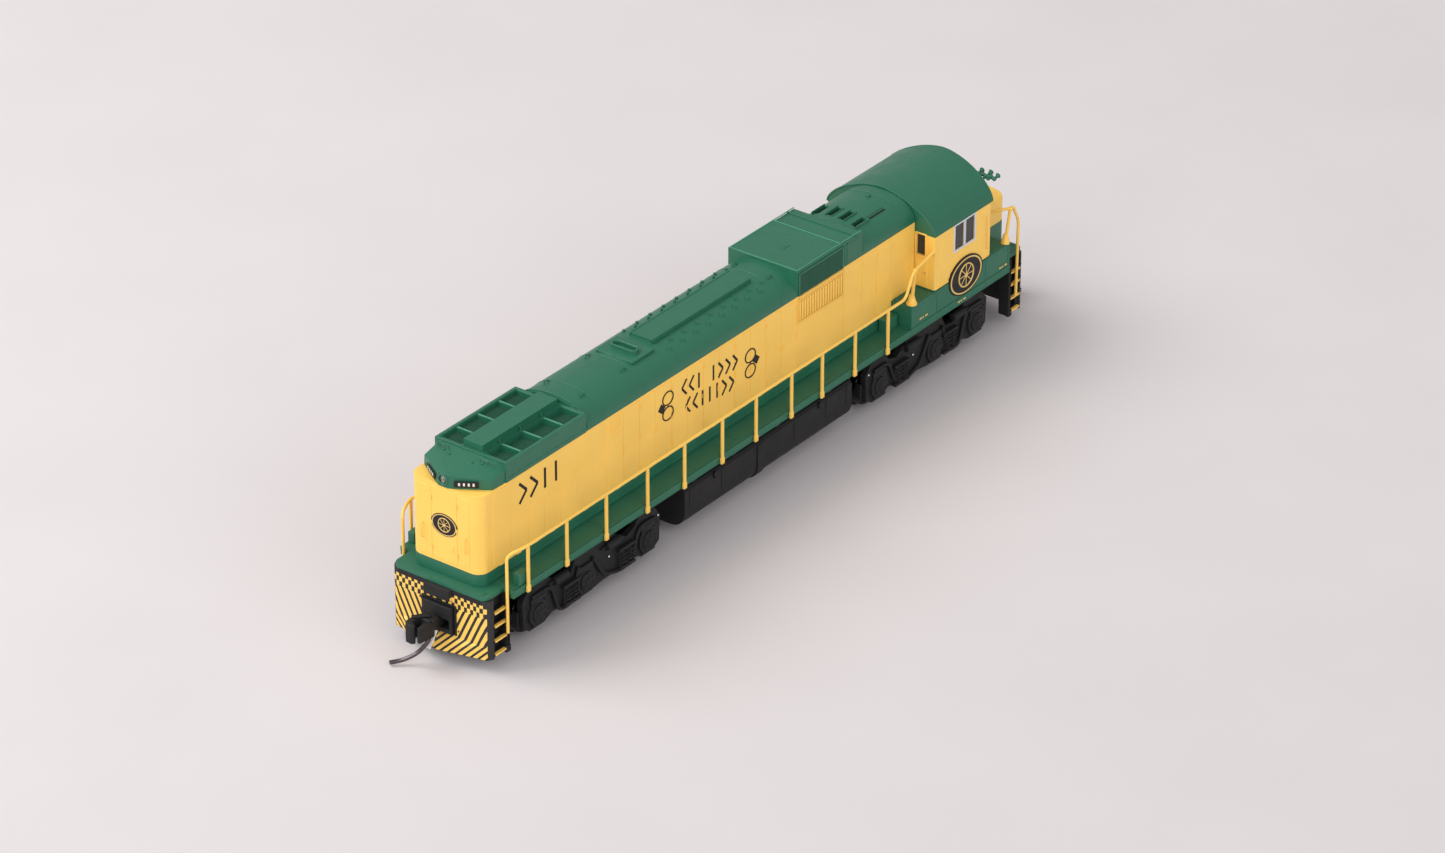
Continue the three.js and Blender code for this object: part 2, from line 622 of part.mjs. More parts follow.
function frameScrew(x) {
  return join(
    bar([x, -4.1, 20.8], [x, 4.35, 20.8], 0.8, 12),
    bar([x, FRAME_HALF + FIT, 20.8], [x, 4.85, 20.8], 1.5, 16),
  );
}

function lightBoard() {
  return join(
    block(-52, 34, -3.4, 3.4, 23.95, 24.5),
    block(6, 10, -1.6, 1.6, 24.4, 25.2),
    block(-14, -9, -1.8, 1.8, 24.4, 25.1),
  );
}

function fuelTank() {
  const radius = 2.4;
  const half = 7.8;
  const bottom = 1.95;
  const outline = [[6.7, 9.75], [-6.7, 9.75], [-6.7, 8], [-half + 0.4, 8], [-half, 7.6]];
  for (const side of [-1, 1]) {
    for (let i = 0; i <= 6; i += 1) {
      const a = (Math.PI / 2) * (side < 0 ? i / 6 : 1 - i / 6);
      outline.push([side * (half - radius * (1 - Math.cos(a))),
        bottom + radius * (1 - Math.sin(a))]);
    }
  }
  outline.push([half, 7.6], [half - 0.4, 8], [6.7, 8]);
  const body = alongX(outline, -18.8, 19.6);
  const band = alongX(outline.map(([y, z]) => [y * 1.025, z > 9 ? z : z - 0.12]), -2.5, -0.9);
  return join(body, band);
}

// ---------------------------------------------------------------- gears
function gearOutline(teeth, firstTooth) {
  const pitchR = (MODULE * teeth) / 2;
  const tipR = pitchR + 0.85 * MODULE;
  const rootR = pitchR - 1.15 * MODULE;
  const step = (2 * Math.PI) / teeth;
  const outline = [];
  for (let i = 0; i < teeth; i += 1) {
    const middle = firstTooth + i * step;
    for (const [r, offset] of [[rootR, -0.29], [tipR, -0.11], [tipR, 0.11], [rootR, 0.29]]) {
      const angle = middle + offset * step;
      outline.push([r * Math.cos(angle), r * Math.sin(angle)]);
    }
  }
  return outline;
}

// A spur gear on a Y axis at (x, z), with a bore for its pin.
function gear(teeth, firstTooth, x, z, bore) {
  const outline = gearOutline(teeth, firstTooth).map(([a, b]) => [a + x, b + z]);
  const blank = alongY(outline, -GEAR_HALF, GEAR_HALF);
  return bore ? cut(blank, bar([x, -2, z], [x, 2, z], bore, 12)) : blank;
}

// Where each gear of a truck stands, and which way its first tooth points so that all mesh.
function gearTrain(side) {
  const pitch = (teeth) => (MODULE * teeth) / 2;
  const wormZ = SHAFT_Z - WORM_R - 0.12 - pitch(WORM_GEAR_TEETH) - 0.85 * MODULE;
  const centre = side * TRUCK_X;
  const train = { wormGear: { x: centre, z: wormZ, phase: Math.PI / 2 }, idlers: [], axles: [] };
  const reach1 = pitch(WORM_GEAR_TEETH) + pitch(IDLER_TEETH);
  const reach2 = pitch(IDLER_TEETH) + pitch(AXLE_GEAR_TEETH);
  for (const hand of [1, -1]) {
    const axle = { x: centre + side * hand * AXLES[0], z: AXLE_Z };
    const dx = axle.x - centre;
    const dz = axle.z - wormZ;
    const span = Math.hypot(dx, dz);
    const along = (reach1 ** 2 - reach2 ** 2 + span ** 2) / (2 * span);
    const off = Math.sqrt(reach1 ** 2 - along ** 2);
    const lean = Math.sign(dx);
    const idler = {
      x: centre + (along * dx - lean * off * dz) / span,
      z: wormZ + (along * dz + lean * off * dx) / span,
    };
    idler.phase = meshPhase(train.wormGear, WORM_GEAR_TEETH, idler, IDLER_TEETH);
    axle.phase = meshPhase(idler, IDLER_TEETH, axle, AXLE_GEAR_TEETH);
    train.idlers.push(idler);
    train.axles.push(axle);
  }
  return train;
}

// The angle of a tooth of the second gear that falls in a gap of the first.
function meshPhase(first, firstTeeth, second, secondTeeth) {
  const line = Math.atan2(second.z - first.z, second.x - first.x);
  const lead = first.phase - line;
  return line + Math.PI - (lead * firstTeeth) / secondTeeth + Math.PI / secondTeeth;
}

// ---------------------------------------------------------------- trucks
function wheelset(x, axleGear) {
  const profile = [
    [0, -6.15], [0.45, -5.9], [0.45, -WHEEL_OUT], [TREAD_R, -WHEEL_OUT], [TREAD_R, -4.35],
    [FLANGE_R, -4.05], [FLANGE_R, -WHEEL_IN], [0.85, -WHEEL_IN],
  ];
  const mirrored = profile.map(([r, h]) => [r, -h]).reverse();
  const points = [...profile, ...mirrored].map(([r, h]) => new THREE.Vector2(r, h));
  const turned = solid(new THREE.LatheGeometry(points, 22),
    new THREE.Matrix4().setPosition(x, 0, AXLE_Z));
  return axleGear ? turned.add(gear(AXLE_GEAR_TEETH, axleGear.phase, x, AXLE_Z)) : turned;
}

function gearbox(side) {
  const centre = side * TRUCK_X;
  const train = gearTrain(side);
  const at = (outward) => centre + side * outward;
  const cheekOutline = [
    [at(-13.8), 2.4], [at(13.8), 2.4], [at(13.8), 6.4], [at(9.6), 9.6], [at(5.2), 10.6],
    [at(5.2), 13.3], [at(-5.2), 13.3], [at(-5.2), 10.6], [at(-9.6), 9.6], [at(-13.8), 6.4],
  ];
  const outline = side > 0 ? cheekOutline : cheekOutline.slice().reverse();
  const cheeks = [alongY(outline, -2.2, -1.15), alongY(outline, 1.15, 2.2)];
  const webs = [
    block(Math.min(at(11.6), at(12.5)), Math.max(at(11.6), at(12.5)), -2.2, 2.2, 6.7, 7.4),
    block(Math.min(at(-12.5), at(-11.6)), Math.max(at(-12.5), at(-11.6)), -2.2, 2.2, 6.7, 7.4),
  ];
  const pins = [train.wormGear, ...train.idlers].map(({ x, z }) =>
    bar([x, -1.6, z], [x, 1.6, z], 0.5, 10));
  const holes = AXLES.map((outward) => bar([at(outward), -3, AXLE_Z], [at(outward), 3, AXLE_Z], 1, 16));
  const openTop = holes.map((hole, i) => block(
    at(AXLES[i]) - 1, at(AXLES[i]) + 1, -3, 3, 0, AXLE_Z));
  return cut(join(cheeks, webs, pins), holes, openTop);
}

function sideframe(side, hand) {
  const centre = side * TRUCK_X;
  const at = (outward) => centre + side * outward;
  const y = (a, b) => [Math.min(hand * a, hand * b), Math.max(hand * a, hand * b)];
  const x = (a, b) => [Math.min(at(a), at(b)), Math.max(at(a), at(b))];
  const outline = [
    [at(-14.6), 2.6], [at(-13.2), 1.7], [at(-10.6), 1.7], [at(-9.4), 2.6], [at(-6.6), 2.1],
    [at(-2.2), 2.1], [at(0), 1.8], [at(3.4), 1.8], [at(4.6), 2.4], [at(8.6), 2.4],
    [at(10.4), 1.7], [at(13.4), 1.7], [at(14.6), 2.6], [at(14.8), 6.6], [at(13.6), 8],
    [at(9.4), 8.2], [at(6.8), 6.2], [at(4.6), 6.3], [at(3.4), 8.6], [at(-3.6), 8.8],
    [at(-7.4), 6.4], [at(-9.2), 7], [at(-10.2), 8.2], [at(-13.6), 8], [at(-14.8), 6.4],
  ];
  const plate = alongY(side > 0 ? outline : outline.slice().reverse(), ...y(6.3, 7.3));
  const boxes = AXLES.map((outward) => block(...x(outward - 1.3, outward + 1.3), ...y(7.2, 7.7),
    2.1, 5.9));
  const caps = AXLES.map((outward) =>
    bar([at(outward), hand * 7.6, AXLE_Z + 0.1], [at(outward), hand * 7.95, AXLE_Z + 0.1], 1.05, 8));
  const springs = [-6.8, 5.1].map((outward) =>
    block(...x(outward - 1.5, outward + 1.5), ...y(7.2, 7.75), 2.7, 5.2));
  const arms = [
    block(...x(6, 7.4), ...y(2.23, 6.4), 4.6, 5.8),
    block(...x(-5.8, -4.2), ...y(2.23, 6.4), 4.6, 5.8),
  ];
  return join(plate, boxes, caps, springs, arms);
}

// Bronze strip that takes current from the axle ends, just inside the sideframe.
function pickup(side, hand) {
  const centre = side * TRUCK_X;
  const [y0, y1] = hand > 0 ? [5.7, 5.95] : [-5.95, -5.7];
  const strip = block(centre - 13.6, centre + 13.6, y0, y1, 2.7, 4.5);
  const cups = AXLES.map((outward) => {
    const x = centre + side * outward;
    return join(
      bar([x, hand * 5, AXLE_Z], [x, hand * 7, AXLE_Z], 0.62, 12),
    );
  });
  const lugs = AXLES.map((outward) => {
    const x = centre + side * outward;
    return block(x - 1.2, x + 1.2, y0, y1, 2.5, 5);
  });
  return cut(join(strip, lugs), cups);
}

// ---------------------------------------------------------------- building the object
part("walkway", walkway(), GREEN);
part("pilot_front", pilot(1), BLACK);
part("pilot_rear", pilot(-1), BLACK);
part("long_hood", longHood(), YELLOW);
part("cab", cab(), YELLOW);
part("cab_glazing", cabGlazing(), CLEAR);
part("short_hood", nose(), YELLOW);
part("horn", horn(), GREEN);
part("headlight_front", headlight(1, 17), LAMP);
part("headlight_rear", headlight(-1, 26.1), LAMP);
part("handrail_left", sideHandrail(1), YELLOW);
part("handrail_right", sideHandrail(-1), YELLOW);
part("handrail_front_left", frontHandrail(1), YELLOW);
part("handrail_front_right", frontHandrail(-1), YELLOW);

part("frame_left", frameHalf(1), DIECAST);
part("frame_right", frameHalf(-1), DIECAST);
part("motor", motor(), STEEL);
part("light_board", lightBoard(), BOARD);
part("led_front", block(51.6, 52.9, -0.8, 0.8, 15.9, 18.1), LAMP);
part("led_rear", block(-53.6, -52.3, -0.8, 0.8, 23.95, 24.8), LAMP);
part("bearing_block_front", bearingBlock(1), BRASS);
part("bearing_block_rear", bearingBlock(-1), BRASS);
part("frame_screw_front", frameScrew(24.5), STEEL);
part("frame_screw_rear", frameScrew(-24.5), STEEL);
part("fuel_tank", fuelTank(), BLACK);

part("motor_shaft", bar([-46, 0, SHAFT_Z], [46, 0, SHAFT_Z], SHAFT_R, 12), STEEL);
part("flywheel_front", flywheel(1), BRASS);
part("flywheel_rear", flywheel(-1), BRASS);
part("worm_front", worm(1), BLACK);
part("worm_rear", worm(-1), BLACK);

for (const [end, side] of [["front", 1], ["rear", -1]]) {
  part(`coupler_box_${end}`, couplerBox(side), BLACK);
  part(`coupler_${end}`, couplerHead(side), BLACK);
  part(`knuckle_${end}`, knuckle(side), BLACK);
  part(`trip_pin_${end}`, tripPin(side), BLACKENED);
  const train = gearTrain(side);
  const { wormGear, idlers, axles } = train;
  part(`gearbox_${end}`, gearbox(side), BLACK);
  part(`worm_gear_${end}`, gear(WORM_GEAR_TEETH, wormGear.phase, wormGear.x, wormGear.z, 0.6),
    NYLON);
  idlers.forEach((idler, i) => {
    const place = i === 0 ? "outer" : "inner";
    part(`idler_gear_${end}_${place}`, gear(IDLER_TEETH, idler.phase, idler.x, idler.z, 0.6), NYLON);
  });
  for (const [name, hand] of [["left", 1], ["right", -1]]) {
    part(`sideframe_${end}_${name}`, sideframe(side, hand), BLACK);
    part(`pickup_${end}_${name}`, pickup(side, hand), BRONZE);
  }
  part(`wheelset_${end}_outer`, wheelset(axles[0].x, axles[0]), BLACKENED);
  part(`wheelset_${end}_middle`, wheelset(side * (TRUCK_X + AXLES[1])), BLACKENED);
  part(`wheelset_${end}_inner`, wheelset(axles[1].x, axles[1]), BLACKENED);
}

export default locomotive;
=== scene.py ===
import bmesh
import bpy
import math
from mathutils import Matrix, Vector


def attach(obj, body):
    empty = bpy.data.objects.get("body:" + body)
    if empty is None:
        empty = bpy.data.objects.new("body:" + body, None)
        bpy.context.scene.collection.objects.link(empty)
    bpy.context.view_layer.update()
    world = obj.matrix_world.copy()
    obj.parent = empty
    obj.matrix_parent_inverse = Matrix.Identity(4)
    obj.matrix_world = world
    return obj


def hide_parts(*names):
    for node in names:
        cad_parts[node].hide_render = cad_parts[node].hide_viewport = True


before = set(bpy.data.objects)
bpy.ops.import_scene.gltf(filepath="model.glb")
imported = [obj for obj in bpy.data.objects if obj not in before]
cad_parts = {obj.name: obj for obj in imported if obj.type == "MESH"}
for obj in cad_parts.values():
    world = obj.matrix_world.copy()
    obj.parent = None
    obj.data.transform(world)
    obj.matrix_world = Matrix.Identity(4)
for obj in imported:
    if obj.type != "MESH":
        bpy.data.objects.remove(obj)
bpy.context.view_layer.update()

MM = 0.001

# Places on the model, in millimetres from the middle of its length and from the floor.
TRUCK_X = 38.4
AXLES = (11.8, 1.7, -11.8)  # from the truck's middle, outward
AXLE_Z = 3.7
HOOD_Y = 5.9
HOOD_REAR_X = -59.9
HOOD_BASE_Z = 13.35  # green below this height
HOOD_EAVES_Z = 25.0  # green above this height
CAB_FRONT_X = 50.7
CAB_SILL_Z = 15.15
CAB_EAVES_Z = 23.6
NOSE_SILL_Z = 15.9
SILL_Y = 9.52
RAIL_Y = 9.85
RAIL_Z = 17.3
SHAFT_Z = 15.6
GEAR_REACH = 4.2  # how far a gear's teeth reach from its pin
ARCH_POWER = 1.62  # bulge of the cab roof's arch
SMOOTH_ANGLE = 32  # degrees
FLOOR_HALF = 3.0  # metres
ENDS = (("front", 1), ("rear", -1))
SIDES = (("left", 1), ("right", -1))
STANCHIONS = (-55, -46.9, -38.5, -29.6, -21.5, -13.1, -5.5, 2.6, 9.7, 17.4, 25.2)


# ---- camera, floor and light
def make_camera():
    """The camera, by its place, the way it looks and the way that is right in the frame."""
    data = bpy.data.cameras.new("camera")
    data.sensor_width = 36
    data.lens = 149.27
    data.clip_start = 0.05
    camera = bpy.data.objects.new("camera", data)
    right = Vector((0.60147, -0.79889, 0.00153)).normalized()
    forward = Vector((0.69548, 0.52267, -0.49307)).normalized()
    up = right.cross(forward).normalized()
    right = forward.cross(up)
    turn = Matrix((right, up, -forward)).transposed().to_4x4()
    camera.matrix_world = Matrix.Translation((-0.57356, -0.43106, 0.41342)) @ turn
    bpy.context.scene.collection.objects.link(camera)
    bpy.context.scene.camera = camera


def area_light(name, place, aim, size, power, colour=(1, 1, 1)):
    data = bpy.data.lights.new(name, "AREA")
    data.shape = "SQUARE"
    data.size = size
    data.energy = power
    data.color = colour
    lamp = bpy.data.objects.new(name, data)
    lamp.location = place
    lamp.rotation_euler = (Vector(aim) - Vector(place)).to_track_quat("-Z", "Y").to_euler()
    bpy.context.scene.collection.objects.link(lamp)


# ---- shader helpers
class Shader:
    """A Principled material with a few short ways of adding nodes."""

    def __init__(self, name, roughness=0.5, metallic=0.0, specular=0.5):
        self.material = bpy.data.materials.new(name)
        self.material.use_nodes = True
        self.tree = self.material.node_tree
        self.out = self.tree.nodes["Principled BSDF"]
        self.out.inputs["Roughness"].default_value = roughness
        self.out.inputs["Metallic"].default_value = metallic
        self.out.inputs["Specular IOR Level"].default_value = specular
        self.coords = self.node("ShaderNodeTexCoord").outputs["Object"]
        split = self.node("ShaderNodeSeparateXYZ")
        self.link(self.coords, split.inputs[0])
        self.x, self.y, self.z = split.outputs

    def node(self, kind, **settings):
        made = self.tree.nodes.new(kind)
        for key, value in settings.items():
            setattr(made, key, value)
        return made

    def link(self, a, b):
        self.tree.links.new(a, b)

    def math(self, operation, *values):
        made = self.node("ShaderNodeMath", operation=operation)
        for socket, value in zip(made.inputs, values):
            if hasattr(value, "links"):
                self.link(value, socket)
            else:
                socket.default_value = value
        return made.outputs[0]

    def above(self, value, limit_mm):
        return self.math("GREATER_THAN", value, limit_mm * MM)

    def below(self, value, limit_mm):
        return self.math("LESS_THAN", value, limit_mm * MM)

    def within(self, value, low_mm, high_mm):
        return self.math("MULTIPLY", self.above(value, low_mm), self.below(value, high_mm))

    def either(self, a, b):
        return self.math("MAXIMUM", a, b)

    def both(self, a, b):
        return self.math("MULTIPLY", a, b)

    def noise(self, scale, detail=3.0, roughness=0.55):
        made = self.node("ShaderNodeTexNoise")
        made.inputs["Scale"].default_value = scale
        made.inputs["Detail"].default_value = detail
        made.inputs["Roughness"].default_value = roughness
        self.link(self.coords, made.inputs["Vector"])
        return made.outputs["Fac"]

    def ramp(self, value, low, high, start=0.0, end=1.0):
        made = self.node("ShaderNodeMapRange")
        for key, number in (("From Min", low), ("From Max", high), ("To Min", start),
                            ("To Max", end)):
            made.inputs[key].default_value = number
        self.link(value, made.inputs["Value"])
        return made.outputs["Result"]

    def mix(self, mask, a, b, blend="MIX"):
        made = self.node("ShaderNodeMix", data_type="RGBA", blend_type=blend)
        for socket, value in ((made.inputs[0], mask), (made.inputs[6], a), (made.inputs[7], b)):
            if hasattr(value, "links"):
                self.link(value, socket)
            elif isinstance(value, (int, float)):
                socket.default_value = value
            else:
                socket.default_value = (*value, 1.0)
        return made.outputs[2]

    def colour(self, value):
        if hasattr(value, "links"):
            self.link(value, self.out.inputs["Base Color"])
        else:
            self.out.inputs["Base Color"].default_value = (*value, 1.0)

    def roughness(self, value):
        self.link(value, self.out.inputs["Roughness"])

    def bump(self, height, strength, distance_mm):
        made = self.node("ShaderNodeBump")
        made.inputs["Strength"].default_value = strength
        made.inputs["Distance"].default_value = distance_mm * MM
        self.link(height, made.inputs["Height"])
        self.link(made.outputs[0], self.out.inputs["Normal"])


YELLOW = (0.95, 0.59, 0.11)
GREEN = (0.016, 0.132, 0.074)
BLACK = (0.014, 0.0135, 0.0142)
DUST = (0.75, 0.72, 0.66)


def weathered(shader, colour, amount=0.06, rough=(0.34, 0.5)):
    """Breaks up a paint colour with faint mottling, dust and handling marks."""
    mottle = shader.ramp(shader.noise(160, 4), 0.3, 0.7)
    deeper = shader.mix(shader.math("MULTIPLY", mottle, 0.07), colour, (0, 0, 0))
    specks = shader.ramp(shader.noise(2600, 2, 0.7), 0.66, 0.78, 0.0, amount)
    shader.colour(shader.mix(specks, deeper, DUST))
    shader.roughness(shader.ramp(shader.noise(420, 5), 0.3, 0.7, *rough))
    grain = shader.noise(5200, 3, 0.6)
    shader.bump(grain, 0.18, 0.04)


def paint(name, colour, rough=(0.42, 0.6), amount=0.06, specular=0.5):
    shader = Shader(name, specular=specular)
    weathered(shader, colour, rough=rough, amount=amount)
    return shader.material


def hood_paint():
    """Green base strip and roof with yellow sides between them."""
    shader = Shader("hood_paint")
    low = shader.below(shader.z, HOOD_BASE_Z)
    high = shader.above(shader.z, HOOD_EAVES_Z)
    green = shader.either(low, high)
    weathered(shader, shader.mix(green, YELLOW, GREEN))
    return shader.material


def cab_paint():
    """Green below the sill and over the arched roof, and yellow between them."""
    half_width, arch_height = 9.1, 4.5
    shader = Shader("cab_paint")
    aside = shader.math("DIVIDE", shader.math("ABSOLUTE", shader.y), half_width * MM)
    across = shader.math("POWER", aside, ARCH_POWER)
    height = shader.math("MAXIMUM", shader.math("SUBTRACT", shader.z, CAB_EAVES_Z * MM), 0.0)
    up = shader.math("POWER", shader.math("DIVIDE", height, arch_height * MM), ARCH_POWER)
    arch = shader.math("GREATER_THAN", shader.math("ADD", across, up), 1.0)
    behind = shader.below(shader.x, CAB_FRONT_X - 0.1)
    roof = shader.both(shader.above(shader.z, 23.5), shader.either(arch, behind))
    low = shader.below(shader.z, CAB_SILL_Z)
    weathered(shader, shader.mix(shader.either(low, roof), YELLOW, GREEN))
    return shader.material


def nose_paint():
    """Yellow nose over a green base."""
    shader = Shader("nose_paint")
    weathered(shader, shader.mix(shader.below(shader.z, NOSE_SILL_Z), YELLOW, GREEN))
    return shader.material


def pilot_paint():
    """Yellow and black warning stripes that fan out from the middle, below a row of checks."""
    steep_lean, flat_lean, fold_z, fold_shift = 0.48, 1.0, 3.95, 2.05
    stripe_pitch, black_share = 1.06, 0.42
    check_width, check_height, check_z = 1.04, 1.5, 8.25
    face_x, face_y, face_low, face_high = 61.0, 7.75, 1.95, 10.2
    shader = Shader("pilot_paint")
    math_node = shader.math
    across = math_node("ABSOLUTE", shader.y)
    # Above the fold the stripes lean inward going down, and on the plough they lean more.
    steep = math_node("SUBTRACT", across, math_node("MULTIPLY", shader.z, steep_lean))
    flat = math_node("ADD", math_node("SUBTRACT", across,
                                      math_node("MULTIPLY", shader.z, flat_lean)),
                     fold_shift * MM)
    lean = shader.mix(shader.above(shader.z, fold_z), flat, steep)
    phase = math_node("FRACT", math_node("DIVIDE", lean, stripe_pitch * MM))
    stripes = math_node("GREATER_THAN", phase, black_share)
    check_y = math_node("FRACT", math_node("DIVIDE", across, check_width * MM))
    check_up = math_node("FRACT", math_node("DIVIDE", shader.z, check_height * MM))
    checks = math_node("COMPARE", math_node("GREATER_THAN", check_y, 0.5),
                       math_node("GREATER_THAN", check_up, 0.5), 0.1)
    pattern = shader.mix(shader.above(shader.z, check_z), stripes, checks)
    face = shader.both(shader.above(math_node("ABSOLUTE", shader.x), face_x),
                       shader.below(across, face_y))
    band = shader.both(face, shader.within(shader.z, face_low, face_high))
    weathered(shader, shader.mix(shader.both(band, pattern), BLACK, YELLOW), rough=(0.45, 0.62))
    return shader.material


def metal(name, colour, rough=(0.25, 0.45), grain=900, metallic=1.0):
    shader = Shader(name, metallic=metallic)
    tone = shader.ramp(shader.noise(grain, 4), 0.3, 0.7, 0.0, 0.28)
    shader.colour(shader.mix(tone, colour, tuple(c * 0.4 for c in colour)))
    shader.roughness(shader.ramp(shader.noise(grain * 3, 3), 0.3, 0.7, *rough))
    shader.bump(shader.noise(grain * 5, 2), 0.12, 0.03)
    return shader.material


def clear(name, tint, roughness=0.06, through=0.85):
    shader = Shader(name, roughness=roughness)
    smudge = shader.ramp(shader.noise(700, 3), 0.35, 0.75, 0.0, 0.25)
    shader.colour(shader.mix(smudge, tint, tuple(c * 0.8 for c in tint)))
    shader.out.inputs["Transmission Weight"].default_value = through
    shader.out.inputs["IOR"].default_value = 1.45
    return shader.material


MATERIALS = {
    "hood": hood_paint(),
    "cab": cab_paint(),
    "nose": nose_paint(),
    "pilot": pilot_paint(),
    "yellow": paint("yellow_paint", YELLOW),
    "green": paint("green_paint", GREEN),
    "black": paint("black_plastic", BLACK, rough=(0.5, 0.68), amount=0.025, specular=0.3),
    # Near-black for real black parts, and painted shade where it fills holes, slots and recesses.
    "dark": paint("near_black_and_painted_shade", (0.004, 0.006, 0.005), rough=(0.7, 0.85), amount=0.02),
    "gold_edge": paint("tread_edge_yellow", YELLOW),
    "trip_steel": metal("trip_pin_steel", (0.13, 0.11, 0.12), rough=(0.12, 0.25)),
    "gold": paint("gold_lining", (0.75, 0.5, 0.16)),
    "frame_grey": paint("window_frame_grey", (0.66, 0.67, 0.70)),
    # A lighter green for edges: a painted highlight.
    "green_edge": paint("green_edge_painted_highlight", (0.06, 0.27, 0.17)),
    # A darker green for the radiator bay floors and mesh: painted shade in the recess.
    "bay": paint("radiator_painted_shade", (0.008, 0.085, 0.045), rough=(0.6, 0.75), amount=0.03),
    # A darker yellow for the panel behind the louvre slats: painted shade between them.
    "louvre_backing_shade": paint("louvre_painted_shade", (0.62, 0.36, 0.07)),
    "white": paint("white_marks", (0.75, 0.75, 0.72)),
    "circuit": paint("circuit_board_green", (0.02, 0.16, 0.06), rough=(0.3, 0.45)),
    "nylon": paint("gear_nylon", (0.75, 0.70, 0.56), rough=(0.35, 0.5)),
    "diecast": metal("diecast_frame", (0.42, 0.43, 0.44), rough=(0.38, 0.6)),
    "steel": metal("bright_steel", (0.72, 0.73, 0.75), rough=(0.15, 0.3)),
    "blackened": metal("blackened_metal", (0.05, 0.045, 0.045), rough=(0.25, 0.42)),
    "brass": metal("turned_brass", (0.78, 0.56, 0.22), rough=(0.18, 0.35)),
    "bronze": metal("phosphor_bronze", (0.72, 0.42, 0.2), rough=(0.2, 0.38)),
    # Near-white for the coupler's spring clip: a painted glint.
    "clip": metal("clip_painted_glint", (0.97, 0.97, 0.95), rough=(0.2, 0.3), metallic=0.3),
    "glass": clear("window_glass", (0.03, 0.032, 0.036), 0.08, 0.1),
    "lens": clear("headlight_lens", (0.98, 0.95, 0.86), 0.12),
}


